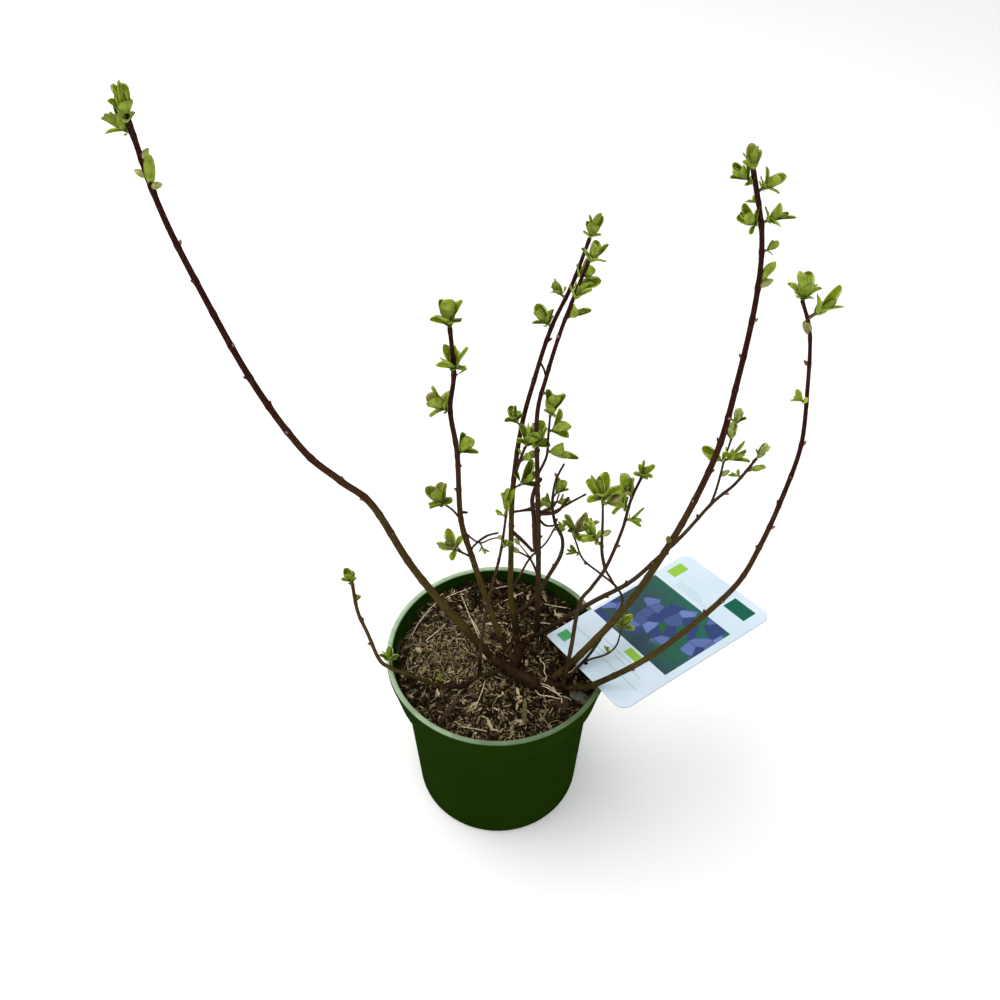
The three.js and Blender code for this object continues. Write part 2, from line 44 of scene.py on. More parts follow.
class Wire:
    def __init__(self, tree, socket=None):
        self.tree = tree
        self.socket = socket

    # any node: its settings are made first, then its sockets are filled or linked
    def node(self, kind, settings=None, inputs=None, output=0):
        made = self.tree.nodes.new(kind)
        for name, value in (settings or {}).items():
            if name == "stops":
                ramp = made.color_ramp
                while len(ramp.elements) < len(value):
                    ramp.elements.new(0.5)
                for element, (place, colour) in zip(ramp.elements, value):
                    element.position = place
                    element.color = (*colour, 1)
            else:
                setattr(made, name, value)
        for name, value in (inputs or {}).items():
            if isinstance(value, Wire):
                self.tree.links.new(value.socket, made.inputs[name])
            else:
                made.inputs[name].default_value = value
        return Wire(self.tree, made.outputs[output])

    def sum(self, operation, first, second=0.0):
        return self.node("ShaderNodeMath", {"operation": operation}, {0: first, 1: second})

    def __add__(self, other):
        return self.sum("ADD", self, other)

    def __sub__(self, other):
        return self.sum("SUBTRACT", self, other)

    def __rsub__(self, other):
        return self.sum("SUBTRACT", other, self)

    def __mul__(self, other):
        return self.sum("MULTIPLY", self, other)

    def __truediv__(self, other):
        return self.sum("DIVIDE", self, other)

    def __lt__(self, other):
        return self.sum("LESS_THAN", self, other)

    def __gt__(self, other):
        return self.sum("GREATER_THAN", self, other)

    __radd__ = __add__
    __rmul__ = __mul__

    # 0 below the first value, 1 above the second
    def between(self, low, high):
        return self.node("ShaderNodeMapRange", {"interpolation_type": "SMOOTHSTEP"},
                         {"Value": self, "From Min": low, "From Max": high})

    def colours(self, mask, first, second):
        first = first if isinstance(first, Wire) else (*first, 1)
        second = second if isinstance(second, Wire) else (*second, 1)
        return self.node("ShaderNodeMix", {"data_type": "RGBA"}, {0: mask, 6: first, 7: second}, 2)

    def place(self):
        return self.node("ShaderNodeTexCoord", output="Object")

    def cloud(self, scale, detail=3.0, roughness=0.55, place=None):
        inputs = {"Vector": place or self.place(), "Scale": scale, "Detail": detail, "Roughness": roughness}
        return self.node("ShaderNodeTexNoise", None, inputs)

    def part(self, axis):
        return self.node("ShaderNodeSeparateXYZ", None, {0: self}, axis)

    def along(self, axis):
        return self.node("ShaderNodeVectorMath", {"operation": "DOT_PRODUCT"}, {0: self, 1: axis}, "Value")

    def stretched(self, shares):
        return self.node("ShaderNodeVectorMath", {"operation": "MULTIPLY"}, {0: self, 1: shares})

    def bump(self, height, depth, strength=1.0):
        return self.node("ShaderNodeBump", None, {"Height": height, "Distance": depth, "Strength": strength})


def makeMaterial(name, paint, **fixed):
    material = bpy.data.materials.new(name)
    material.use_nodes = True
    shader = material.node_tree.nodes["Principled BSDF"]
    # nothing here shines by itself: what gloss there is comes from a thin coat
    for socket, value in {"Specular_IOR_Level": 0.0, **fixed}.items():
        shader.inputs[socket.replace("_", " ")].default_value = value
    for socket, wire in paint(Wire(material.node_tree)).items():
        material.node_tree.links.new(wire.socket, shader.inputs[socket])
    return material


# the same colour, darker or paler
def toned(tint, share):
    return tuple(min(share * channel, 1) for channel in tint)


# a cloudy mix of two colours with a grain of the same pattern
def cloudyMaterial(name, tones, cloud, span, grain, **fixed):
    def paint(wire):
        pattern = wire.cloud(*cloud)
        colour = wire.colours(pattern.between(*span), *tones)
        return {"Base Color": colour, "Normal": wire.bump(pattern, *grain)}
    return makeMaterial(name, paint, **fixed)


# ---- meshes

def newObject(name, data):
    made = bpy.data.objects.new(name, data)
    bpy.context.scene.collection.objects.link(made)
    return made


# a curve, or a mesh with modifiers, becomes a plain mesh
def settledMesh(holder, name, material):
    bpy.context.view_layer.update()
    mesh = bpy.data.meshes.new_from_object(holder.evaluated_get(bpy.context.evaluated_depsgraph_get()))
    bpy.data.objects.remove(holder)
    mesh.name = name
    mesh.materials.clear()
    mesh.materials.append(material)
    return mesh


# places spread evenly round the Z axis
def roundPlaces(radius, count, first=0):
    turns = [2 * pi * (k + first) / count for k in range(count)]
    return [(radius * cos(turn), radius * sin(turn)) for turn in turns]


# a ring of points round a centre, across two axes
def ringOf(centre, side, up, radius, sides, first=0):
    return [centre + side * x + up * y for x, y in roundPlaces(radius, sides, first)]


# each point of a loop with the next one
def pairsOf(loop):
    return list(zip(loop, [*loop[1:], loop[0]]))


# the faces between rings of equally many points
def lace(rings, sides):
    faces = []
    for i in range(rings - 1):
        for k in range(sides):
            n = (k + 1) % sides
            faces.append((i * sides + k, i * sides + n, (i + 1) * sides + n, (i + 1) * sides + k))
    return faces


# points, faces and a finish for each face, gathered and made into one piece
class Shell:
    def __init__(self):
        self.points = []
        self.faces = []
        self.finishes = []

    def add(self, points, faces, finishes):
        first = len(self.points)
        self.points.extend(points)
        self.faces.extend([tuple(first + i for i in face) for face in faces])
        self.finishes.extend(finishes)

    # rings of equally many points become a closed tube, with one finish or one for each face
    def tube(self, rings, finish=0):
        sides = len(rings[0])
        faces = lace(len(rings), sides)
        tints = [finish] * len(faces) if isinstance(finish, int) else finish
        last = (len(rings) - 1) * sides
        faces += [tuple(reversed(range(sides))), tuple(range(last, last + sides))]
        self.add([point for ring in rings for point in ring], faces, [*tints, tints[0], tints[-1]])

    def piece(self, name, materials, nodes=(), smooth=True):
        mesh = bpy.data.meshes.new(name)
        mesh.from_pydata([Vector(p) * mm for p in self.points], [], self.faces)
        for material in materials:
            mesh.materials.append(material)
        mesh.polygons.foreach_set("material_index", self.finishes)
        mesh.polygons.foreach_set("use_smooth", [smooth] * len(self.faces))
        mesh.update()
        return dress(newObject(name, mesh), nodes)


def dress(made, nodes):
    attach(made, "root")
    if nodes:
        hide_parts(*nodes)
    print("made", made.name, len(made.data.polygons), "faces")
    return made


# ---- growth, by the same rule as the solids

def seededDraw(seed):
    state = seed
    span = 2 ** 32

    def draw(low, high):
        nonlocal state
        state = (state * 1664525 + 1013904223) % span
        return low + (high - low) * state / span
    return draw


def direction(azimuth, elevation):
    flat = cos(radians(elevation))
    turn = radians(azimuth)
    return Vector((flat * cos(turn), flat * sin(turn), sin(radians(elevation))))


def rotation(axis, degrees):
    return Matrix.Rotation(radians(degrees), 3, axis)


def turned(vector, axis, degrees):
    return rotation(axis, degrees) @ vector


def mix(low, high, share):
    return low + (high - low) * share


goldenTurn = 137.5  # degrees round a stem from one leaf or bud to the next


class Line:
    # a smooth line through the ends of its stretches, with a frame that doesn't twist
    def __init__(self, root, course, radii):
        knots = [Vector(root)]
        for length, azimuth, elevation in course:
            knots.append(knots[-1] + direction(azimuth, elevation) * length)
        knots = [2 * knots[0] - knots[1], *knots, 2 * knots[-1] - knots[-2]]
        self.radii = radii
        self.points = []
        pieces = 48
        for a, b, c, d in zip(knots, knots[1:], knots[2:], knots[3:]):
            for k in range(pieces):
                t = k / pieces
                bend = (2 * a - 5 * b + 4 * c - d) * t * t + (3 * b - a - 3 * c + d) * t ** 3
                self.points.append(b + ((c - a) * t + bend) * 0.5)
        self.points.append(knots[-2])
        self.reach = [0.0]
        for a, b in zip(self.points, self.points[1:]):
            self.reach.append(self.reach[-1] + (b - a).length)
        self.length = self.reach[-1]
        self.sides = []
        side = (self.points[1] - self.points[0]).orthogonal().normalized()
        for a, b in zip(self.points, self.points[1:]):
            ahead = (b - a).normalized()
            side = (side - ahead * side.dot(ahead)).normalized()
            self.sides.append(side)
        self.sides.append(side)

    # centre, heading and the two axes across it, at a distance from the root
    def at(self, distance):
        distance = min(max(distance, 0.0), self.length)
        i = min(max(bisect(self.reach, distance) - 1, 0), len(self.points) - 2)
        share = (distance - self.reach[i]) / (self.reach[i + 1] - self.reach[i])
        heading = (self.points[i + 1] - self.points[i]).normalized()
        side = (self.sides[i] - heading * self.sides[i].dot(heading)).normalized()
        return self.points[i].lerp(self.points[i + 1], share), heading, side, heading.cross(side)

    def radius(self, distance):
        return mix(*self.radii, min(distance / self.length, 1))


# each limb: its root, or its parent and the place on it, the length inside the crown, the radii at its
# ends, and its course as (length, azimuth, elevation)
limbs = {
    "cane_far_left": dict(root=(8.8, -9.3, 154.5), foot=18, radii=(3.3, 1.6), course=[
        (16, 163, 36), (52, 166, 54), (61, 166, 58), (65, 169, 67), (31, 176, 48), (35, 171, 47),
        (59, 167, 63), (76, 167, 72), (52, 167, 76), (55, 168, 84)]),
    "cane_left": dict(root=(15.2, -5.1, 155.5), foot=16, radii=(2.6, 1.4), course=[
        (28, 148, 59), (36, 156, 73), (56, 168, 77), (40, 167, 79), (63, -133, 89), (36, 144, 83),
        (29, 39, 82), (41, 147, 87)]),
    "cane_middle_left": dict(root=(17, 15, 155), foot=10, radii=(2.5, 1.2), course=[
        (47, 120, 75), (56, 100, 87), (63, 45, 89), (53, 45, 82), (37, 45, 72), (40, 40, 69),
        (31, 40, 57), (33, 40, 65)]),
    "cane_middle": dict(root=(33, 27, 151.3), radii=(2.4, 1.1), course=[
        (61, -120, 89), (73, -120, 87), (62, -140, 87), (51, -140, 88), (29, 30, 78), (31, 20, 76),
        (28, 20, 72), (27, 20, 70)]),
    "cane_right": dict(root=(44, -21, 157), foot=14, radii=(3.1, 1.3), course=[
        (30, 3, 55), (61, 11, 57), (51, 12, 65), (55, 14, 70), (57, 12, 77), (56, 12, 86),
        (58, 10, 89), (42, -170, 84), (41, 160, 73)]),
    "cane_far_right": dict(root=(54.4, -28.2, 155.5), foot=12, radii=(2.6, 0.9), course=[
        (21, -49, 46), (20, -29, 48), (52, -19, 53), (51, -17, 60), (58, -8, 63), (43, -7, 77),
        (48, -5, 83), (36, -1, 87), (39, 175, 83), (36, 176, 80), (22, 169, 68)]),
    "cane_back_right": dict(root=(20, 16, 155), foot=10, radii=(2.3, 1.0), course=[
        (29, -8, 49), (48, 2, 43), (36, 10, 32), (31, 24, 38), (25, 20, 45), (36, 10, 59),
        (23, 10, 49), (28, 5, 64)]),
    "cane_over_rim": dict(root=(12, -6, 157), foot=14, radii=(1.8, 1.3), course=[
        (19, -150, 3), (12, -172, -10), (14, -145, -8), (19, -178, 6), (27, 176, 24), (17, 176, 31),
        (11, 160, 40), (28, 150, 74), (26, 170, 78), (33, 150, 88)]),
    "cane_fork": dict(root=(52, -28, 157), foot=10, radii=(1.9, 0.9), course=[
        (56, -60, 83), (52, 10, 86), (18, 20, 61), (20, 25, 58), (35, 20, 75), (27, 20, 82),
        (23, 15, 74)]),
    "cane_thin": dict(root=(54, -22, 157), foot=8, radii=(1.3, 0.7), course=[
        (21, -55, 66), (23, 42, 25), (27, 41, 48), (19, 44, 48), (16, 150, 69), (17, 150, 28),
        (17, 150, 27), (16, 140, 61), (14, 140, 66)]),
    "branch_back": dict(on="cane_middle_left", at=31, radii=(2.1, 0.8), course=[
        (15, 42, -1), (18, 42, 27), (14, 20, 66), (25, 15, 67), (32, -90, 71), (18, 175, 70),
        (19, 150, 80), (23, 40, 85), (17, 20, 68)]),
    "branch_low_left": dict(on="cane_over_rim", at=30, radii=(1.6, 0.8), course=[
        (55, -30, 86), (47, 13, 82), (41, 19, 79), (39, 8, 84), (14, -4, 88)]),
}

# finer twigs, too thin for a solid of their own: (parent, place on it, radius, course)
fineTwigs = [
    ("cane_left", 167, 1.0, [(6, -10, 5)]),
    ("twig_left", 13, 0.95, [(10, 0, 43), (9, 0, 20)]),
    ("twig_left", 13, 0.9, [(9, 175, -61), (8, 5, -85)]),
    ("cane_middle_left", 124, 1.6, [(18, 15, -56), (12, -15, -49)]),
    ("cane_middle", 102, 1.9, [(13, 180, 77), (27, 175, 87), (21, 180, 85), (14, 0, 80), (9, 0, 66)]),
    ("cane_middle", 146, 1.0, [(10, 0, -52), (10, 5, 0)]),
    ("cane_middle_left", 144, 1.0, [(14, 0, 8), (16, -5, -4)]),
    ("branch_back", 134, 1.0, [(15, 10, 33), (16, -5, 41)]),
    ("cane_fork", 144, 1.0, [(15, 5, -65), (10, -5, -64)]),
    ("cane_middle_left", 272, 0.8, [(7, 0, -65), (6, 5, -78)]),
    ("cane_middle", 152, 0.8, [(12, 10, 20), (14, 0, 74)]),
    ("cane_middle", 150, 1.35, [(14, 0, 12), (16, 10, 58)]),
    ("cane_over_rim", 153, 0.8, [(6, 120, 60), (5, 90, 80)]),
]

# masses of foliage, on the tip of a limb or on a stem of their own: each tuft is
# (place on the stem, azimuth, rise, length of its spur, leaves, leaf length, opening)
shoots = {
    "leaves_far_left_top": dict(tipOf="cane_far_left",
        tufts=[(456, 10, 75, 4, 1, 17, 10), (459, -10, 20, 3, 1, 5, 10), (465, 190, 40, 3, 1, 5, 20),
        (475, 20, 50, 3, 1, 5, 15), (489, 185, 42, 6, 6, 15, 46), (495, 170, 82, 7, 5, 17, 18)]),
    "leaves_left_top": dict(tipOf="cane_left",
        tufts=[(222, 10, 50, 4, 4, 17, 42), (258, 180, 40, 6, 6, 18, 45), (286, -10, 35, 3, 1, 8, 10),
        (288, 90, 80, 4, 6, 17, 56), (320, 130, 80, 6, 7, 18, 42)]),
    "leaves_left_middle": dict(on="cane_left", at=159, radii=(0.9, 0.7), course=[
        (11, -170, 63), (10, -170, 52)],
        tufts=[(20, 180, 55, 4, 7, 18, 60)]),
    "leaves_left_low": dict(on="cane_left", at=120, radii=(0.9, 0.7), course=[
        (7, -170, 43), (9, -170, 40)],
        tufts=[(10, 150, 50, 14, 2, 6, 15), (15, 180, 50, 3, 6, 16, 60)]),
    "leaves_middle_left_top": dict(tipOf="cane_middle_left",
        tufts=[(297, 170, 50, 5, 5, 15, 42), (318, 190, 50, 6, 4, 12, 30),
        (325, -20, 20, 5, 2, 15, 30), (333, 0, 30, 4, 5, 13, 50), (357, 20, 75, 6, 5, 15, 26)]),
    "leaves_middle_left_upper": dict(on="cane_middle_left", at=222, radii=(0.8, 0.6), course=[
        (4, 200, 55), (4, 200, 65)],
        tufts=[(6, 200, 60, 3, 5, 13, 42)]),
    "leaves_middle_left_fork": dict(on="cane_middle_left", at=176, radii=(1.4, 0.9), course=[
        (21, -60, 72), (21, -40, 74)],
        tufts=[(24, 20, 20, 4, 3, 13, 50), (39, 10, 65, 5, 7, 19, 56)]),
    "leaves_middle_left_low": dict(on="cane_middle_left", at=168, radii=(0.8, 0.6), course=[
        (4, -20, 40), (4, -10, 40)],
        tufts=[(6, 0, 40, 3, 4, 20, 36)]),
    "leaves_middle_left_side": dict(on="cane_middle_left", at=144, radii=(0.7, 0.5), course=[
        (8, 0, 15), (8, 10, 10)],
        tufts=[(14, 0, 15, 3, 3, 10, 25)]),
    "leaves_middle_top": dict(tipOf="cane_middle",
        tufts=[(320, 0, 30, 4, 3, 13, 40), (332, 0, 60, 4, 4, 14, 42), (358, 0, 50, 4, 5, 14, 45)]),
    "leaves_middle_right": dict(on="cane_middle", at=190, radii=(1.1, 0.7), course=[
        (19, 0, 72), (18, 0, 88), (21, 0, 88)],
        tufts=[(24, 0, -20, 3, 2, 19, 26), (34, 185, 30, 5, 4, 14, 45), (42, -10, 25, 3, 3, 18, 35),
        (55, 10, 75, 4, 5, 19, 28)]),
    "leaves_right_top": dict(tipOf="cane_right",
        tufts=[(376, 10, 60, 5, 1, 15, 12), (378, 0, 20, 3, 1, 6, 20), (400, 0, 30, 4, 3, 8, 40),
        (416, 180, 25, 5, 5, 12, 42), (418, 0, 28, 6, 5, 12, 45), (430, 190, 10, 3, 2, 6, 40),
        (436, 0, 28, 6, 5, 12, 48), (441, 180, 28, 6, 5, 11, 45), (446, 160, 74, 5, 6, 12, 38)]),
    "leaves_far_right_top": dict(tipOf="cane_far_right",
        tufts=[(359, 180, 30, 4, 3, 8, 50), (402, 180, 60, 3, 3, 9, 25), (414, 0, 45, 7, 4, 15, 36),
        (424, 100, 72, 3, 7, 14, 54)]),
    "leaves_back_right_top": dict(tipOf="cane_back_right",
        tufts=[(236, 180, 20, 3, 2, 8, 30), (242, 0, 10, 4, 2, 11, 25), (254, 5, 62, 4, 4, 10, 22)]),
    "leaves_back_right_fork": dict(on="cane_back_right", at=203, radii=(1.0, 0.7), course=[
        (10, 60, 38), (17, 40, 83), (15, 20, 88), (17, 10, 84), (17, 10, 85)],
        tufts=[(27, 10, 20, 3, 1, 5, 15), (41, 180, 30, 3, 2, 16, 40), (42, 0, 25, 4, 4, 17, 50),
        (60, 90, 82, 3, 4, 11, 22), (74, 0, 82, 3, 4, 11, 22)]),
    "leaves_over_rim_top": dict(tipOf="cane_over_rim",
        tufts=[(184, 0, 75, 3, 2, 9, 12), (205, 170, 80, 3, 5, 12, 30)]),
    "leaves_over_rim_middle": dict(on="cane_over_rim", at=107, radii=(0.8, 0.6), course=[
        (3, 100, 60), (3, 100, 60)],
        tufts=[(5, 100, 65, 3, 5, 12, 46)]),
    "leaves_over_rim_low": dict(on="cane_over_rim", at=64, radii=(0.7, 0.5), course=[
        (2.5, 90, 75), (2.5, 90, 75)],
        tufts=[(4, 90, 80, 2, 4, 6, 45)]),
    "leaves_low_left_top": dict(tipOf="branch_low_left",
        tufts=[(149, -10, 50, 3, 3, 9, 40), (181, 190, 30, 3, 2, 7, 40), (183, 0, 86, 5, 3, 20, 8)]),
    "leaves_fork_top": dict(tipOf="cane_fork",
        tufts=[(191, -10, 0, 3, 3, 12, 40), (202, 175, 35, 4, 5, 17, 42), (211, 180, 65, 4, 4, 18, 24),
        (228, 10, 72, 3, 6, 11, 54)]),
    "leaves_fork_left": dict(on="cane_fork", at=144, radii=(1.3, 0.7), course=[
        (17, 140, 76), (33, -120, 83), (23, -120, 81)],
        tufts=[(22, 175, 60, 14, 5, 16, 45), (34, 0, 45, 3, 1, 5, 15), (68, 0, 30, 4, 3, 14, 45),
        (70, 150, 72, 4, 6, 20, 42)]),
    "leaves_thin_top": dict(tipOf="cane_thin",
        tufts=[(148, 190, 20, 3, 3, 10, 40), (164, 20, 64, 5, 5, 21, 68)]),
    "leaves_thin_side": dict(on="cane_thin", at=32, radii=(0.9, 0.6), course=[
        (8, 22, 12), (13, 10, 16), (11, 39, 15), (14, 69, 33)],
        tufts=[(22, 90, 60, 2, 2, 6, 50), (45, 60, 70, 3, 6, 14, 58)]),
    "leaves_back_top": dict(tipOf="branch_back",
        tufts=[(112, 60, 30, 3, 3, 11, 40), (136, 150, 50, 4, 5, 12, 50), (144, 0, 10, 6, 3, 9, 30),
        (149, 30, 50, 5, 4, 13, 35)]),
    "twig_back": dict(on="cane_middle_left", at=56, radii=(1.1, 0.7), course=[
        (18, 30, 61), (16, 45, 45), (17, 40, 20), (15, 50, 38)],
        tufts=[(34, 150, 50, 18, 1, 4, 10), (63, 0, 20, 3, 2, 8, 35)]),
    "twig_middle": dict(on="cane_middle", at=78, radii=(1.1, 0.7), course=[
        (19, 160, 67), (12, 160, 24)],
        tufts=[(29, 160, 30, 3, 1, 5, 15)]),
    "twig_left": dict(on="cane_left", at=147, radii=(0.8, 0.5), course=[
        (14, -20, -32), (9, 10, 13), (7, 10, 8)],
        tufts=[(15, -60, -40, 4, 2, 7, 25), (28, 10, 10, 2, 1, 4, 15)]),
}


def growLine(stem):
    root = stem.get("root") or lines[stem["on"]].at(stem["at"])[0]
    return Line(root, stem["course"], stem["radii"])


lines = {}
for limbName, limb in limbs.items():
    lines[limbName] = growLine(limb)
for shootName, shoot in shoots.items():
    lines[shootName] = lines[shoot["tipOf"]] if "tipOf" in shoot else growLine(shoot)
print("grown", len(lines), "lines")

# every point along the wood, so that leaves can keep off it
woodPoints = []
for limbName in limbs:
    line = lines[limbName]
    woodPoints += [(line.at(2.0 * i)[0], line.radius(2.0 * i)) for i in range(int(line.length / 2))]
woodTree = kdtree.KDTree(len(woodPoints))
for woodIndex, (woodPoint, _) in enumerate(woodPoints):
    woodTree.insert(woodPoint, woodIndex)
woodTree.balance()


def isFree(point, clearance):
    near, index, distance = woodTree.find(point)
    return distance > woodPoints[index][1] + clearance


# ---- camera and light

camera = {"place": (1.9, -498.9, 820.4), "down": 44.07, "lens": 36}
studio = {
    "key": dict(place=(-1.5, 0.5, 2.3), size=3.6, power=64, colour=(1.0, 0.98, 0.94)),
    "front": dict(place=(0.7, -1.9, 2.0), size=2.6, power=22, colour=(0.97, 0.99, 1.0)),
}
studioWorld = {"colour": (0.97, 0.99, 1.0), "strength": 0.70}
studioFloor = {"half": 3.0, "shade": (0.96, 0.96, 0.955), "pale": (0.98, 0.98, 0.975)}


def setCamera():
    data = bpy.data.cameras.new("viewer")
    data.sensor_width = 36
    data.lens = camera["lens"]
    viewer = newObject("viewer", data)
    viewer.location = Vector(camera["place"]) * mm
    viewer.rotation_euler = (radians(90 - camera["down"]), 0, 0)
    bpy.context.scene.camera = viewer


def setLights():
    for name, light in studio.items():
        data = bpy.data.lights.new(name, "AREA")
        data.shape = "DISK"
        data.size = light["size"]
        data.energy = light["power"]
        data.color = light["colour"]
        lamp = newObject(name, data)
        lamp.location = light["place"]
        lamp.rotation_euler = (Vector((0, 0, 0.25)) - lamp.location).to_track_quat("-Z", "Y").to_euler()
    world = bpy.data.worlds.new("studio")
    world.use_nodes = True
    sky = world.node_tree.nodes["Background"]
    sky.inputs["Color"].default_value = (*studioWorld["colour"], 1)
    sky.inputs["Strength"].default_value = studioWorld["strength"]
    bpy.context.scene.world = world
    bpy.context.scene.view_settings.view_transform = "Standard"


def setFloor():
    half = studioFloor["half"]
    mesh = bpy.data.meshes.new("floor")
    corners = [(-half, -half, 0), (half, -half, 0), (half, half, 0), (-half, half, 0)]
    mesh.from_pydata(corners, [], [(0, 1, 2, 3)])

    def paint(wire):
        return {"Base Color": wire.colours(wire.cloud(3), studioFloor["shade"], studioFloor["pale"])}
    mesh.materials.append(makeMaterial("pale_floor", paint, Roughness=0.9, Specular_IOR_Level=0.5))
    newObject("floor", mesh)


setCamera()
setLights()
setFloor()
print("studio set")


# ---- pot

pot = {
    "height": 170, "rim": 90, "lip": 4.3, "band": 5.5, "overhang": 0.7, "edge": 1.0,
    "throat": 83.8, "throatDepth": 10, "collarDepth": 34, "collar": 84.4, "step": 1.5,
    "body": 77.8, "base": 71, "corner": 3, "wall": 1.8, "rounding": 1.2, "facets": 160,
    "drains": 8, "drainRadius": 4, "drainSides": 20, "drainCircle": 54,
    "green": (0.0095, 0.026, 0.0008), "shade": (0.0075, 0.021, 0.0006), "streak": (0.018, 0.040, 0.003),
    # the rim colours are painted light: the pale one a painted highlight on the top of the rim, the dull one
    # painted shade on its side away from the light and also specks of soil
    "lipHighlight": (0.37, 0.49, 0.32), "lipShadeAndSoil": (0.085, 0.125, 0.060),
    "soilDust": (0.10, 0.085, 0.05), "dustFoot": 148, "dustTop": 163,
}


def roundedProfile(corners, cut):
    # each corner of the outline is swapped for three points on a small curve
    points = []
    for i, here in enumerate(corners):
        here = Vector(here)
        if i in (0, len(corners) - 1):
            points.append(here)
            continue
        before = Vector(corners[i - 1]) - here
        after = Vector(corners[i + 1]) - here
        reach = min(cut, 0.4 * before.length, 0.4 * after.length)
        start = here + before.normalized() * reach
        end = here + after.normalized() * reach
        points += [start, (start + end) / 4 + here / 2, end]
    return points


def makePot():
    p = pot
    collarFoot = p["height"] - p["collarDepth"]
    lipInside = p["rim"] - p["lip"]
    corners = [
        (0, 0), (p["base"] - p["corner"], 0), (p["base"] - 0.3 * p["corner"], 0.3 * p["corner"]),
        (p["base"], p["corner"]), (mix(p["base"], p["body"], 0.5), mix(p["corner"], collarFoot, 0.5)),
        (p["body"], collarFoot - p["step"]), (p["collar"], collarFoot),
        (p["rim"] - p["overhang"], p["height"] - p["band"] - p["step"]), (p["rim"], p["height"] - p["band"]),
        (p["rim"], p["height"] - p["edge"]), (p["rim"] - p["edge"], p["height"]),
        (lipInside + p["edge"], p["height"]), (lipInside, p["height"] - p["edge"]),
        (p["throat"], p["height"] - p["throatDepth"]),
        (p["collar"] - p["wall"], collarFoot + p["step"]), (p["body"] - p["wall"], collarFoot),
        (p["base"] - p["wall"], p["corner"] + p["wall"]), (p["base"] - p["corner"], p["wall"]),
        (0, p["wall"]),
    ]
    profile = roundedProfile(corners, p["rounding"])[1:-1]
    points = [(x, y, height) for radius, height in profile for x, y in roundPlaces(radius, p["facets"])]
    faces = lace(len(profile), p["facets"])
    shell = Shell()
    shell.add(points, faces, [0] * len(faces))
    closePotFloor(shell.piece("nursery_pot", [potPlastic()], ["pot"]))


def closePotFloor(made):
    # the two sides of the floor are filled in round the drain holes, and the holes get their walls
    p = pot
    bm = bmesh.new()
    bm.from_mesh(made.data)
    bm.verts.ensure_lookup_table()
    under = bm.verts[:p["facets"]]
    inner = bm.verts[-p["facets"]:]
    holes = [[] for _ in range(p["drains"])]
    for height, ring in ((0, under), (p["wall"], inner)):
        edges = [bm.edges.get(pair) for pair in pairsOf(ring)]
        for hole, (x, y) in zip(holes, roundPlaces(p["drainCircle"], p["drains"], 0.5)):
            places = [(x + a, y + b, height) for a, b in roundPlaces(p["drainRadius"], p["drainSides"])]
            loop = [bm.verts.new(Vector(place) * mm) for place in places]
            edges += [bm.edges.new(pair) for pair in pairsOf(loop)]
            hole.append(loop)
        bmesh.ops.triangle_fill(bm, edges=edges, use_beauty=True, use_dissolve=False)
    for low, high in holes:
        for (a, b), (d, c) in zip(pairsOf(low), pairsOf(high)):
            bm.faces.new((a, b, c, d))
    bmesh.ops.recalc_face_normals(bm, faces=bm.faces)
    for face in bm.faces:
        face.smooth = True
    bm.to_mesh(made.data)
    bm.free()
    made.data.update()


def potPlastic():
    p = pot

    def paint(wire):
        place = wire.place()
        height = place.part(2)
        cloudy = wire.cloud(14, 4)
        streaks = wire.cloud(1, 3, 0.6, place.stretched((60, 60, 7)))
        green = wire.colours(cloudy.between(0.3, 0.75), p["shade"], p["green"])
        green = wire.colours(streaks.between(0.55, 0.85) * 0.2, green, p["streak"])
        # a line of dust on the inside of the wall, just over the compost
        flat = place.stretched((1, 1, 0))
        out = wire.node("ShaderNodeVectorMath", {"operation": "LENGTH"}, {0: flat}, "Value")
        inside = out < (p["rim"] - p["lip"] + 0.3) * mm
        fading = 1 - height.between((p["dustFoot"] + 2) * mm, p["dustTop"] * mm)
        level = (height > p["dustFoot"] * mm) * fading
        dust = inside * wire.cloud(90, 4).between(0.45, 0.7) * level
        green = wire.colours(dust * 0.8, green, p["soilDust"])
        lip = height.between((p["height"] - 1.6) * mm, (p["height"] - 0.5) * mm)
        # the top of the rim is painted pale as a painted highlight, paler still on the lit left and back and
        # darker at the front right as painted shade; small specks of soil dull it
        litSide = place.along((-5.5, 3.0, 0)) + (wire.cloud(35, 3) - 0.5) * 1.2
        lipTone = wire.colours(litSide.between(-0.65, 0.60), p["lipShadeAndSoil"], p["lipHighlight"])
        lipTone = wire.colours(wire.cloud(160, 4).between(0.52, 0.72) * 0.35, lipTone, p["lipShadeAndSoil"])
        colour = wire.colours(lip * 0.96, green, lipTone)
        grain = wire.bump(wire.cloud(1400, 2), 0.00012, 0.35)
        return {"Base Color": colour, "Roughness": 0.46 + cloudy * 0.16, "Normal": grain}
    return makeMaterial("green_pot_plastic", paint, Coat_Weight=0.012, Coat_Roughness=0.4)


makePot()


# ---- compost

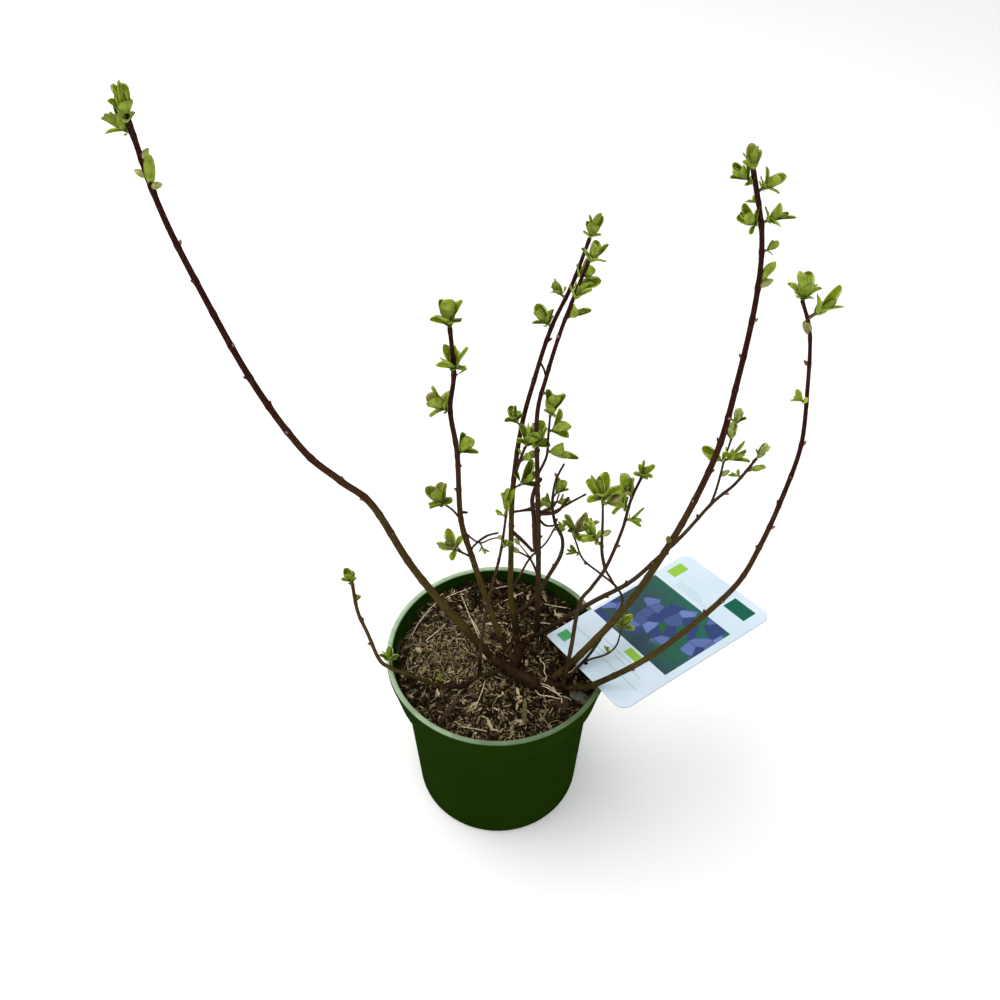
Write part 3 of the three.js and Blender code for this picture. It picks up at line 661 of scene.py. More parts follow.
compost = {
    "top": 151, "radius": 83.0, "relief": 2, "swell": 9, "centre": (28, -5), "level": 28, "uneven": 62,
    "rings": 60, "facets": 150, "roughness": 1.6, "sunk": 0.6, "wallClear": 2.1,
    # the heap rises over these stretches; the bed, the litter and the chips follow a share of it
    "heap": 10.5, "heapBack": (8, 70), "heapAway": (48, 82), "bedShare": 0.75, "litterShare": 0.8,
    "chipShare": (0.68, 0.98),
    "chips": 8500, "chipLength": (2.0, 9.0), "fewLong": 2.4, "chipWidth": (0.16, 0.42), "chipTilt": 34,
    "banked": 1500, "bankTurn": (15, 165), "bankAway": (62, 81.5),  # more chips, on the heap
    "fibres": 1150, "fibreLength": (3, 11), "fibreRadius": (0.14, 0.3),
    # the pale patch is partly paler, finer mulch and partly a painted pool of light
    "sandy": (-38, 20, 36), "sandShift": 0.34, "sandFine": 0.45,  # a pale patch: its middle and its reach
    # painted shadow: chips towards the back right and the right take darker tints, where the label and the
    # canes shade the compost
    "paintedShadow": 0.20, "shadowBack": (25, 78), "shadowRight": (25, 60),
    # the tint of a chip, from the first share that is above its draw, or the red one over the last
    "shares": (0.34, 0.55, 0.73, 0.88, 0.97, 1.08),
}
chipTints = [
    ("chip_dark", (0.012, 0.008, 0.004)), ("chip_umber", (0.030, 0.020, 0.010)),
    ("chip_brown", (0.072, 0.048, 0.024)), ("chip_tan", (0.19, 0.140, 0.078)),
    ("chip_sand", (0.43, 0.34, 0.205)), ("chip_grey", (0.11, 0.095, 0.070)),
    ("chip_red", (0.048, 0.024, 0.016)), ("fibre_gold", (0.31, 0.225, 0.095)),
    ("fibre_pale", (0.55, 0.46, 0.31)), ("stick_green", (0.13, 0.12, 0.05)),
    ("moss_grey", (0.12, 0.12, 0.085)), ("flake_dark", (0.042, 0.026, 0.018)),
]


def smooth(value, low, high):
    share = min(max((value - low) / (high - low), 0), 1)
    return share * share * (3 - 2 * share)


def soilHeight(x, y):
    c = compost
    away = hypot(x - c["centre"][0], y - c["centre"][1])
    waves = sin(x / c["swell"]) * cos(y / c["swell"])
    return c["top"] + c["relief"] * smooth(away, c["level"], c["uneven"]) * (waves - 1) / 2


# how far a place lies towards the back right, where the chips are drawn darker as painted shadow
def shadowTowardsBack(x, y):
    return smooth(0.45 * x + 0.9 * y, *compost["shadowBack"])


# the compost is heaped against the back wall
def heapHeight(x, y):
    c = compost
    return c["heap"] * smooth(y + 0.15 * x, *c["heapBack"]) * smooth(hypot(x, y), *c["heapAway"])


def bedHeight(x, y):
    c = compost
    crumbs = noise.noise(Vector((x, y, 3)) * 0.35) + 0.6 * noise.noise(Vector((x, y, 9)) * 0.9)
    return soilHeight(x, y) - c["sunk"] + c["roughness"] * crumbs + c["bedShare"] * heapHeight(x, y)


def litterHeight(x, y):
    return soilHeight(x, y) + compost["litterShare"] * heapHeight(x, y)


def makeCompost():
    c = compost
    p = pot
    clear = c["wallClear"]
    collarFoot = p["height"] - p["collarDepth"]
    profile = [
        (p["base"] - p["corner"] - clear, p["wall"] + 0.3), (p["base"] - clear, p["corner"] + clear),
        (p["body"] - clear, collarFoot - p["step"]), (p["body"] - clear, collarFoot + p["step"]),
        (p["collar"] - clear, collarFoot + 2 * p["step"]), (c["radius"] - 0.6, c["top"] - 5),
    ]
    # the rings above lie along the wall, and the ones that follow make the uneven top
    profile += [(c["radius"] * (1 - i / c["rings"]), None) for i in range(c["rings"])]
    shell = Shell()
    shell.tube([[(x, y, height or bedHeight(x, y)) for x, y in roundPlaces(radius, c["facets"])]
                for radius, height in profile])

    def paint(wire):
        stops = [(0.30, (0.007, 0.005, 0.003)), (0.50, (0.020, 0.013, 0.007)), (0.75, (0.060, 0.040, 0.021))]
        colour = wire.node("ShaderNodeValToRGB", {"stops": stops}, {0: wire.cloud(450, 4)})
        return {"Base Color": colour, "Normal": wire.bump(wire.cloud(700, 3), 0.0012)}
    finish = makeMaterial("dark_compost", paint, Roughness=0.95)
    shell.piece("compost_bed", [finish], ["compost"])


def woodTint(name, tint):
    tones = toned(tint, 0.55), toned(tint, 1.35)
    return cloudyMaterial(name, tones, (500, 4), (0.3, 0.7), (0.0006, 0.6), Roughness=0.9)


def addChip(shell, place, turn, size, tint, draw, bend=0.15):
    # a four-sided splinter, uneven in width and a little arched
    length, width, thick = size
    rings = []
    for share, wide in ((-0.5, 0.35), (-0.22, 0.9), (0.2, 1.0), (0.5, 0.4)):
        half = width * wide * draw(0.35, 0.6)
        lift = bend * length * (0.25 - share * share)
        across = draw(-0.15, 0.15) * width
        section = [(half, -1), (-half, -1), (-half * draw(0.6, 1), 1), (half * draw(0.6, 1), 1)]
        rings.append([Vector(place) + turn @ Vector((x + across, share * length, side * thick / 2 + lift))
                      for x, side in section])
    shell.tube(rings, tint)


def onCompost(draw, margin):
    reach = compost["radius"]
    while True:
        x, y = draw(-reach, reach), draw(-reach, reach)
        if hypot(x, y) < reach - margin:
            return x, y


def makeChips():
    c = compost
    draw = seededDraw(4711)
    shell = Shell()
    sandX, sandY, sandReach = c["sandy"]
    for i in range(c["chips"] + c["banked"]):
        x, y = onCompost(draw, 1.5)
        # the last chips lie on the heap along the back wall
        if i >= c["chips"]:
            turn, away = radians(draw(*c["bankTurn"])), draw(*c["bankAway"])
            x, y = away * cos(turn), away * sin(turn)
        # in the pale patch the chips are finer and paler, the paleness partly a painted pool of light
        sand = 1 - smooth(hypot(x - sandX, y - sandY), 0.3 * sandReach, 1.3 * sandReach)
        # chips in the painted shadow take darker tints
        shade = max(shadowTowardsBack(x, y), smooth(x, *c["shadowRight"]))
        tint = bisect(c["shares"], draw(0, 1) + c["sandShift"] * sand - c["paintedShadow"] * shade)
        length = mix(*c["chipLength"], draw(0, 1) ** c["fewLong"]) * (1 - c["sandFine"] * sand)
        width = length * draw(*c["chipWidth"])
        height = soilHeight(x, y) + draw(-0.5, 1.6) + heapHeight(x, y) * draw(*c["chipShare"])
        turn = rotation("Z", draw(0, 360)) @ rotation("X", draw(-c["chipTilt"], c["chipTilt"]))
        turn = turn @ rotation("Y", draw(-60, 60))
        addChip(shell, (x, y, height), turn, (length, width, max(0.3, 0.16 * width)), tint, draw)
    shell.piece("bark_chips", chipMaterials[:7], smooth=False)


def addFibre(shell, points, radius, tint, sides=3):
    rings = []
    for i, point in enumerate(points):
        ahead = (points[min(i + 1, len(points) - 1)] - points[max(i - 1, 0)]).normalized()
        side = ahead.cross(Vector((0.1, 0.2, 1))).normalized()
        up = ahead.cross(side)
        thin = radius * (0.45 if i in (0, len(points) - 1) else 1)
        rings.append(ringOf(point, side, up, thin, sides))
    shell.tube(rings, tint)


def makeFibres():
    c = compost
    draw = seededDraw(917)
    shell = Shell()
    sandX, sandY, sandReach = c["sandy"]
    for _ in range(c["fibres"]):
        x, y = onCompost(draw, 4)
        # over half of them lie round the sandy patch
        if draw(0, 1) < 0.55:
            x, y = sandX + draw(-1, 1) * sandReach, sandY + draw(-1, 1) * sandReach
        if hypot(x, y) > c["radius"] - 4:
            continue
        length = draw(*c["fibreLength"])
        turn = draw(0, 360)
        rise = draw(-8, 22)
        points = [Vector((x, y, soilHeight(x, y) + draw(0.2, 1.6)))]
        for _ in range(3):
            points.append(points[-1] + direction(turn, rise) * length / 3)
            turn += draw(-28, 28)
            rise -= draw(0, 16)
        tint = 0 if draw(0, 1) < 0.8 else 1
        addFibre(shell, points, draw(*c["fibreRadius"]), tint)
    shell.piece("wood_fibres", chipMaterials[7:9], smooth=False)


# what lies on the compost and catches the eye, from above: ends of straws, knots of dry rootlets,
# flakes and slivers of bark, and a broken stick
straws = [
    [(-24, 47), (-15, 27)], [(-33, 69), (-16, 25)], [(-50, 60), (-66, 40)], [(-10, -18), (-20, -49)],
    [(-60, 22), (-44, 40)], [(-30, -62), (-8, -66)], [(5, 62), (24, 70)], [(60, 35), (48, 52)],
    [(-72, 26), (-58, 52)], [(-46, 62), (-22, 74)], [(-8, 70), (10, 76)], [(40, 58), (62, 50)],
    [(28, 40), (52, 34)],
]
rootlets = [
    [(34.7, 0), (38.4, -11), (38.8, -23), (40, -29)], [(34.7, -25), (42.5, -30), (52, -36)],
    [(34.6, -28), (43, -33), (54, -34)], [(38, -23), (44, -28), (49.5, -37), (59, -39)],
    [(30, -32), (40, -39), (50, -40), (52, -46)], [(54, -22), (57, -14), (66, -8)],
]
flakes = [  # centre, yaw, (length, width, thickness), tilt, tint
    ((-38, -48), -33, (30, 5.2, 2.4), 6, 11), ((49, -43), -40, (16, 13, 1.0), 18, 11),
    ((66, -35), 60, (19, 10, 3.5), 6, 10), ((2, 69), 80, (14, 6, 1.6), 38, 6),
]
slivers = [  # centre, yaw, (length, width)
    ((14, 67), 20, (9, 3.6)), ((27, 66), -15, (10, 3.0)), ((31, 54), 70, (12, 4.0)),
    ((-12, 6), 35, (9, 3.2)), ((4, -22), -30, (8, 3.6)), ((16, -30), 10, (7, 3.0)),
    ((-20, -46), 115, (11, 3.2)), ((-6, -60), 20, (13, 2.6)), ((-60, -8), -20, (8, 3.6)),
    ((-66, 12), 40, (7, 3.6)), ((-20, -22), 150, (10, 3.8)), ((56, 44), 75, (16, 4.2)),
    ((40, 66), 15, (17, 4.0)), ((-4, 40), 95, (13, 3.4)), ((-30, -60), 60, (9, 2.4)),
    ((-48, -30), 10, (7, 2.8)),
]
stick = {"foot": (21, -60), "lean": (88, 62), "length": 23, "radius": 1.7, "tint": 9}
litter = {
    "strawRadius": 0.45, "strawLift": 1.9, "strawArch": 1.2, "strawSway": 2.5, "strawTint": 8,
    "rootletRadius": 0.42, "rootletLift": 6.2, "rootletWave": 1.6, "rootletCurl": 0.8,
    "flakeLift": 1.6, "sliverLift": 2.2, "sliverThick": 0.9, "sliverTilt": 20, "sliverBend": 0.05,
}


def makeLitter():
    # straws, rootlets, flakes, slivers and the stick, each lifted so that it lies on the chips
    c = litter
    draw = seededDraw(365)
    shell = Shell()
    for start, end in straws:
        start, end = Vector((*start, 0)), Vector((*end, 0))
        sway = (end - start).cross(Vector((0, 0, 1))).normalized()
        sway *= draw(-c["strawSway"], c["strawSway"])
        points = []
        for k in range(9):
            arch = sin(pi * k / 8)
            point = start.lerp(end, k / 8) + sway * arch
            point.z = litterHeight(point.x, point.y) + c["strawLift"] + c["strawArch"] * arch
            points.append(point)
        addFibre(shell, points, c["strawRadius"], c["strawTint"], 5)
    for knots in rootlets:
        points = []
        for a, b in zip(knots, knots[1:]):
            for k in range(6):
                x, y = mix(a[0], b[0], k / 6), mix(a[1], b[1], k / 6)
                x += c["rootletCurl"] * sin(y * 0.6)
                y += c["rootletCurl"] * sin(x * 0.5)
                wave = c["rootletWave"] * sin(0.25 * (x + y))
                points.append(Vector((x, y, litterHeight(x, y) + c["rootletLift"] + wave)))
        addFibre(shell, points, c["rootletRadius"], c["strawTint"], 5)
    for (x, y), yaw, size, tilt, tint in flakes:
        place = Vector((x, y, litterHeight(x, y) + c["flakeLift"] + size[2] / 2))
        addFlake(shell, place, rotation("Z", yaw) @ rotation("X", tilt), size, tint, draw)
    for i, ((x, y), yaw, (length, width)) in enumerate(slivers):
        turn = rotation("Z", yaw) @ rotation("Y", draw(-c["sliverTilt"], c["sliverTilt"]))
        place = (x, y, litterHeight(x, y) + c["sliverLift"])
        size = (length, width, c["sliverThick"])
        addChip(shell, place, turn, size, 3 + i % 2, draw, c["sliverBend"])  # tan and sand by turns
    foot = Vector((*stick["foot"], litterHeight(*stick["foot"]) - 1))
    reach = direction(*stick["lean"]) * stick["length"]
    addFibre(shell, [foot + reach * k / 5 for k in range(6)], stick["radius"], stick["tint"], 9)
    shell.piece("mulch_litter", chipMaterials, smooth=False)


def addFlake(shell, place, turn, size, tint, draw):
    # a torn, slightly cupped flake of bark with an uneven outline
    length, width, thick = size
    rings = []
    for i in range(9):
        share = i / 8 - 0.5
        wide = sqrt(max(1 - (2 * share) ** 4, 0.06)) * draw(0.82, 1.05)
        ring = []
        for k in range(10):
            a = -2 * pi * k / 10
            x = 0.5 * width * wide * cos(a)
            z = 0.5 * thick * sin(a) - 0.12 * abs(x) + draw(-0.06, 0.06) * thick
            ring.append(place + turn @ Vector((x, share * length, z + 0.03 * length * cos(6 * share))))
        rings.append(ring)
    shell.tube(rings, tint)


makeCompost()
chipMaterials = [woodTint(name, tint) for name, tint in chipTints]
makeChips()
makeFibres()
makeLitter()


# ---- label card

label = {
    "length": 148, "width": 105, "thick": 0.7, "corner": 9, "square": 1.5, "bevel": 0.12,
    "hole": 1.8, "inset": 7, "place": 0.45,
    "at": (40.1, 15.6, 166.6), "yaw": 32.3, "pitch": 5.6, "roll": 11.8,
    # the edge colour is painted shade on the card's cut side
    "paper": (0.67, 0.74, 0.86), "mist": (0.55, 0.67, 0.76), "edge": (0.10, 0.085, 0.09),
    "back": (0.60, 0.62, 0.62), "slate": (0.030, 0.055, 0.085), "teal": (0.012, 0.13, 0.085),
    "deepGreen": (0.018, 0.11, 0.045), "violet": (0.028, 0.050, 0.17), "lilac": (0.14, 0.20, 0.46),
    "leafGreen": (0.07, 0.33, 0.12), "lime": (0.26, 0.50, 0.05), "block": (0.004, 0.10, 0.06),
    "ink": (0.34, 0.50, 0.45), "tile": 10.5, "panel": (46, 111, 3, 98),
    # blocks and lines beside the panel: each from one length to another and from one width to another
    "blocks": (((37, 44, 57, 73), "lime"), ((7, 17, 5, 16), "leafGreen"), ((121, 136, 6, 17), "lime"),
               ((128, 141, 70, 94), "block")),
    "lines": ((20, 20.7, 30, 96), (24.5, 25.2, 10, 50), (29, 29.7, 56, 88), (33.5, 34.2, 34, 70),
              (116, 116.6, 24, 62), (118.6, 119.2, 24, 55), (121.2, 121.8, 24, 48)),
}


def labelAxes():
    yaw, roll = radians(label["yaw"]), radians(label["roll"])
    along = direction(label["yaw"], label["pitch"])
    level = Vector((sin(yaw), -cos(yaw), 0))
    across = level * cos(roll) + level.cross(along) * sin(roll)
    return along, across, along.cross(across)


def makeLabel():
    c = label
    corner = c["corner"]
    outline = [(c["square"], 0)]
    far, wide = c["length"] - corner, c["width"] - corner
    for x, y, start in ((far, corner, -90), (far, wide, 0), (corner, wide, 90)):
        for k in range(11):
            a = radians(start + 9 * k)
            outline.append((x + corner * cos(a), y + corner * sin(a)))
    outline.append((0, c["square"]))
    hole = [(c["inset"] + x, c["place"] * c["width"] + y) for x, y in roundPlaces(c["hole"], 24)]
    drawing = bpy.data.curves.new("card_outline", "CURVE")
    drawing.dimensions = "2D"
    drawing.fill_mode = "BOTH"
    drawing.extrude = c["thick"] / 2 - c["bevel"]
    drawing.bevel_depth = c["bevel"]
    drawing.bevel_resolution = 2
    for points in (outline, hole):
        spline = drawing.splines.new("POLY")
        spline.points.add(len(points) - 1)
        for point, (x, y) in zip(spline.points, points):
            point.co = (x, y, 0, 1)
        spline.use_cyclic_u = True
    axes = labelAxes()
    mesh = settledMesh(newObject("card_outline", drawing), "label_print", labelPrint(*axes))
    turn = Matrix(axes).transposed().to_4x4()
    mesh.transform(Matrix.Scale(mm, 4) @ Matrix.Translation(c["at"]) @ turn)
    dress(newObject("label_print", mesh), ["label_card"])


def labelPrint(along, across, face):
    c = label
    start = Vector(c["at"])

    def paint(wire):
        place = wire.place()
        # places along the card, across it and through it
        u, v, w = [place.along(tuple(axis)) * 1000 - axis.dot(start) for axis in (along, across, face)]

        def box(u0, u1, v0, v1):
            return (u > u0) * (u < u1) * (v > v0) * (v < v1)
        spots = wire.node("ShaderNodeCombineXYZ", None, {0: u / c["tile"], 1: v / c["tile"]})
        cells = {"Vector": spots, "Scale": 1.0, "Randomness": 0.8}
        tile = wire.node("ShaderNodeTexVoronoi", {"voronoi_dimensions": "2D"}, cells, "Color")
        edges = {"voronoi_dimensions": "2D", "feature": "DISTANCE_TO_EDGE"}
        seam = wire.node("ShaderNodeTexVoronoi", edges, cells)
        sky = wire.colours(wire.cloud(12).between(0.3, 0.7), c["paper"], c["mist"])
        drift = wire.cloud(16, 2)
        panel = wire.colours(drift.between(0.35, 0.65), c["slate"], c["deepGreen"])
        panel = wire.colours((u + v * 0.6).between(95, 150) * 0.7, panel, c["teal"])
        blue = wire.colours(tile.part(1).between(0.35, 0.95), c["violet"], c["lilac"])
        band = u - v * 0.35 - 62
        inBand = 1 - wire.sum("ABSOLUTE", band).between(20, 27)
        panel = wire.colours((tile.part(0) > 0.36) * inBand, panel, blue)
        panel = wire.colours((1 - seam.between(0.02, 0.07)) * 0.6, panel, c["slate"])
        colour = wire.colours(box(*c["panel"]), sky, panel)
        for block, tint in c["blocks"]:
            colour = wire.colours(box(*block), colour, c[tint])
        for line in c["lines"]:
            colour = wire.colours(box(*line), colour, c["ink"])
        # w grows downwards through the card, so the print is where it is least
        skin = c["thick"] / 2 - 0.08
        # the card's cut side is painted dark as painted shade
        colour = wire.colours(w > -skin, colour, c["edge"])
        colour = wire.colours(w > skin, colour, c["back"])
        return {"Base Color": colour, "Roughness": 0.3 + wire.cloud(60) * 0.12,
                "Normal": wire.bump(wire.cloud(40, 2), 0.0004, 0.3)}
    return makeMaterial("printed_card", paint, Specular_IOR_Level=0.1, Coat_Weight=0.06, Coat_Roughness=0.15)


makeLabel()


# ---- bark: the crown and the canes

bark = {
    "step": 1.2, "sides": 12, "ridges": 0.04, "nodeSwell": 0.17, "nodeReach": 2.2,
    # buds on bare stretches: how far apart, from where, how far from the tip and from a tuft
    "nodeSpacing": 24, "nodeSway": (0.75, 1.25), "nodeStart": 16.0, "nodeEnd": 8, "nodeClear": 9,
    "budLength": 3.8, "budRadius": 1.15, "budFrom": 0.3,
    "knots": (("cane_right", 168, 160),), "knotLength": 7, "knotRadius": 2.3,  # (cane, place, angle)
    "olive": (0.066, 0.048, 0.011), "brown": (0.046, 0.019, 0.008), "maroon": (0.028, 0.0068, 0.0055),
    "grey": (0.11, 0.08, 0.045), "dark": (0.013, 0.006, 0.004),
    "umber": (0.048, 0.030, 0.015), "plum": (0.040, 0.018, 0.012), "mossy": (0.075, 0.085, 0.020),
    "lenticel": (0.20, 0.15, 0.11), "old": (0.012, 0.0058, 0.0036), "oldPale": (0.029, 0.0135, 0.0075),
    "duskyCanes": (
        "cane_back_right", "cane_fork", "cane_thin", "branch_back", "branch_low_left", "cane_middle"),
    "flare": 1.1, "voxel": 0.55, "lumps": 0.3, "cracks": 1.2,  # of the crown
}
budTints = [
    ("bud_brown", (0.11, 0.055, 0.032)), ("bud_maroon", (0.075, 0.022, 0.022)),
    ("bud_rose", (0.17, 0.10, 0.075)), ("knot_olive", (0.105, 0.088, 0.024)),
]
crownLogs = [
    dict(root=(5, -6, 153), course=[(12, -37, 4), (12, -36, 2), (12, -34, 0)], radii=(5.4, 5.2)),
    dict(root=(14, -8, 152), course=[(13, 80, 5), (14, 72, 2)], radii=(4.2, 4.0)),
    dict(root=(33, -27, 152.5), course=[(11, 14, 8), (11, -3, 4)], radii=(4.0, 3.6)),
]


def nodesOf(name):
    # where buds sit along a stem: its tufts, and evenly spaced places on its bare stretch
    line = lines[name]
    draw = seededDraw(77 + len(name))
    tufts = [tuft[0] for shoot in shoots.values() if shoot.get("tipOf") == name for tuft in shoot["tufts"]]
    tufts += [shoot["at"] for shoot in shoots.values() if shoot.get("on") == name]
    bare = []
    place = bark["nodeStart"]
    while place < line.length - bark["nodeEnd"]:
        if all(abs(place - tuft) > bark["nodeClear"] for tuft in tufts):
            bare.append(place)
        place += bark["nodeSpacing"] * draw(*bark["nodeSway"])
    return tufts, bare


def barkRings(line, start, end, swellings, sides, seed):
    # rings along a stretch of a line, ridged, swollen where buds sit and closing at the end
    b = bark
    steps = max(3, int((end - start) / b["step"]))
    rings = []
    for i in range(steps + 1):
        distance = mix(start, end, i / steps)
        centre, heading, side, up = line.at(distance)
        radius = line.radius(distance)
        near = [place for place in swellings if abs(distance - place) < 8]
        swell = b["nodeSwell"] * mix(0.4, 1, distance / line.length)
        swell *= sum(exp(-((distance - place) / b["nodeReach"]) ** 2) for place in near)
        closing = min((end - distance) / max(radius, 0.1), 1)
        tip = 0.35 + 0.65 * sqrt(max(closing, 0))
        ring = []
        for x, y in roundPlaces(1, sides):
            long = noise.noise(Vector((3 * x + seed, 3 * y, distance * 0.05)))
            fine = noise.noise(Vector((6 * x, 6 * y + seed, distance * 0.4)))
            reach = radius * tip * (1 + swell + b["ridges"] * long + 0.5 * b["ridges"] * fine)
            ring.append(centre + (side * x + up * y) * reach)
        rings.append(ring)
    return rings


def addBud(shell, line, distance, angle, length, radius, tint):
    centre, heading, side, up = line.at(distance)
    out = side * cos(angle) + up * sin(angle)
    root = centre + out * line.radius(distance) * 0.8
    ahead = (heading * 0.8 + out * 0.6).normalized()
    across = ahead.cross(out).normalized()
    over = ahead.cross(across)
    rings = []
    for share, wide in ((0, 0.7), (0.2, 1.0), (0.45, 0.95), (0.7, 0.62), (0.9, 0.25), (1.0, 0.06)):
        rings.append(ringOf(root + ahead * length * share, across, over, radius * wide, 8))
    shell.tube(rings, tint)


def caneBark(name, tones):
    # dark at the foot, then the two given tones and maroon towards the tips, drifting in height
    b = bark
    low, middle = tones

    def paint(wire):
        place = wire.place()
        height = place.part(2)
        drift = height + (wire.cloud(18, 3) - 0.5) * 0.16
        stops = [(0.0, b["dark"]), (0.05, low), (0.42, middle), (0.68, b["maroon"])]
        colour = wire.node("ShaderNodeValToRGB", {"stops": stops}, {0: drift.between(0.145, 0.60)})
        streak = wire.cloud(1, 4, 0.6, place.stretched((900, 900, 90)))
        colour = wire.colours(streak.between(0.52, 0.75) * 0.35, colour, b["grey"])
        colour = wire.colours((1 - streak.between(0.28, 0.52)) * 0.62, colour, b["dark"])
        green = wire.cloud(30, 2).between(0.58, 0.72) * (1 - height.between(0.22, 0.40)) * 0.35
        colour = wire.colours(green, colour, b["mossy"])
        cells = wire.node("ShaderNodeTexVoronoi", None, {"Vector": place, "Scale": 420.0, "Randomness": 1.0})
        spots = (1 - cells.between(0.08, 0.16)) * 0.5
        colour = wire.colours(spots, colour, b["lenticel"])
        grain = wire.bump(streak * 0.7 + spots * 0.4, 0.0004, 0.6)
        return {"Base Color": colour, "Roughness": 0.45 + streak * 0.2, "Normal": grain}
    return makeMaterial(name, paint, Coat_Weight=0.03, Coat_Roughness=0.35)


def crownBark():
    b = bark

    def paint(wire):
        place = wire.place()
        rough = wire.cloud(220, 5, 0.65)
        old = wire.colours(rough.between(0.3, 0.7), b["old"], b["oldPale"])
        young = wire.colours(rough.between(0.3, 0.7), b["brown"], b["olive"])
        height = place.part(2) + (wire.cloud(60, 3) - 0.5) * 0.008
        colour = wire.colours(height.between(0.157, 0.168), old, young)
        return {"Base Color": colour, "Normal": wire.bump(rough, 0.0005, 0.6)}
    return makeMaterial("crown_bark", paint, Roughness=0.7, Coat_Weight=0.04, Coat_Roughness=0.4)


def makeCrown():
    # the logs and the feet of the canes are fused into one body, eased and roughened
    shell = Shell()
    for seed, log in enumerate(crownLogs):
        line = Line(**log)
        shell.tube(barkRings(line, 0, line.length, [6, 24], 16, 5 + seed))
    for name, limb in limbs.items():
        if "foot" in limb:
            rings = barkRings(lines[name], 0, limb["foot"] + 5, [limb["foot"]], 14, len(name))
            for i, ring in enumerate(rings):
                centre = sum(ring, Vector()) / len(ring)
                wide = mix(bark["flare"], 1, i / len(rings))
                rings[i] = [centre.lerp(point, wide) for point in ring]
            shell.tube(rings)
    raw = bpy.data.meshes.new("crown_raw")
    raw.from_pydata([Vector(p) * mm for p in shell.points], [], shell.faces)
    holder = newObject("crown_raw", raw)
    fuse = holder.modifiers.new("fuse", "REMESH")
    fuse.mode = "VOXEL"
    fuse.voxel_size = bark["voxel"] * mm
    ease = holder.modifiers.new("ease", "SMOOTH")
    ease.iterations = 4
    ease.factor = 0.5
    mesh = settledMesh(holder, "crown_wood", crownBark())
    for vertex in mesh.vertices:
        place = vertex.co / mm
        cracks = abs(noise.noise(Vector((place.x * 0.16, place.y * 0.5, place.z * 0.5))))
        lumps = noise.noise(place * 0.35)
        swell = bark["lumps"] * lumps - bark["cracks"] * max(0.12 - cracks, 0)
        vertex.co += vertex.normal * swell * mm
    mesh.polygons.foreach_set("use_smooth", [True] * len(mesh.polygons))
    mesh.update()
    dress(newObject("crown_wood", mesh), ["crown"])


def makeCanes():
    pale = caneBark("cane_bark", (bark["olive"], bark["brown"]))
    dusky = caneBark("dusky_bark", (bark["umber"], bark["plum"]))
    buds = Shell()
    for order, (name, limb) in enumerate(limbs.items()):
        line = lines[name]
        tufts, bare = nodesOf(name)
        start = max(limb.get("foot", 0) - 3, 0)
        shell = Shell()
        shell.tube(barkRings(line, start, line.length, tufts + bare, bark["sides"], 10 + order))
        shell.piece("bark_" + name, [dusky if name in bark["duskyCanes"] else pale], [name])
        for i, place in enumerate(bare):
            if place > bark["budFrom"] * line.length or i % 3 == 0:
                share = 0.65 + 0.35 * (place / line.length)
                angle = radians(goldenTurn * i + 40 * order)
                addBud(buds, line, place, angle, bark["budLength"] * share, bark["budRadius"] * share, i % 3)
    for name, place, angle in bark["knots"]:
        addBud(buds, lines[name], place, radians(angle), bark["knotLength"], bark["knotRadius"], 3)
    twigs = Shell()
    for order, (name, shoot) in enumerate(shoots.items()):
        if "on" in shoot:
            line = lines[name]
            twigs.tube(barkRings(line, 0, line.length, [tuft[0] for tuft in shoot["tufts"]], 9, 40 + order))
    for order, (parent, place, radius, course) in enumerate(fineTwigs):
        line = Line(lines[parent].at(place)[0], course, (radius, 0.75 * radius))
        twigs.tube(barkRings(line, 0, line.length, [0.4 * line.length, line.length - 1], 8, 90 + order))
    twigs.piece("side_twigs", [dusky], [name for name in shoots if name.startswith("twig")])
    buds.piece("winter_buds", [budScale(name, tint) for name, tint in budTints])


def budScale(name, tint):
    tones = tint, toned(tint, 1.6)
    return cloudyMaterial(name, tones, (600, 3), (0.35, 0.7), (0.0003, 0.5),
                          Roughness=0.5, Coat_Weight=0.05, Coat_Roughness=0.35)


makeCrown()
makeCanes()


# ---- leaves

leaf = {
    "widths": (0.62, 0.50), "thick": 0.2, "swayTurn": 8, "swayRise": 6, "sizes": (0.9, 1.1),
    "shares": (0.72, 1), "seats": (0.55, 0.95), "openings": (1.25, 0.65), "lift": 0.35, "cup": 0.26,
    "curls": (-40, 4), "stations": (0, 0.1, 0.24, 0.41, 0.58, 0.74, 0.86, 0.95, 1),
    "smallBud": 7, "budPlump": 0.27,  # a lone leaf shorter than the first is a swollen bud
    "tightest": 24, "scaleOpen": (1.9, 0.5), "scaleLength": (0.5, 0.72), "scaleCurl": 38, "scaleCup": 0.75,
    "innerLength": (0.55, 0.85), "innerWidth": 0.36, "innerCurl": (-6, 26), "innerCup": 0.5,
    "bractSpread": (50, 90), "bractLength": (0.36, 0.6), "longestBract": 14, "bractWidth": 0.6,
    "bractCurl": (-50, 0), "bractCup": 0.4,
}
leafTints = [  # the numbers below count in this list
    ("leaf_fresh", (0.118, 0.160, 0.004)), ("leaf_pale", (0.195, 0.245, 0.011)),
    ("leaf_deep", (0.064, 0.094, 0.002)), ("leaf_bronze", (0.180, 0.140, 0.030)),
    # the undersides are the leaves' own paler green and mauve, made paler still as painted light shining
    # through the blade
    ("under_pale", (0.24, 0.31, 0.040)), ("under_mauve", (0.24, 0.22, 0.085)),
    # the pale margin is partly the leaf's own pale edge and partly a painted highlight along it; the pink
    # margin is the leaf's own colour
    ("margin_pale_and_highlight", (0.44, 0.53, 0.17)), ("margin_pink", (0.38, 0.33, 0.15)),
    # the last tint here is a paler copy of the upper side green: painted light
    ("bract", (0.27, 0.33, 0.08)), ("leaf_cream", (0.42, 0.48, 0.17)), ("leaf_painted_light", (0.27, 0.34, 0.028)),
]
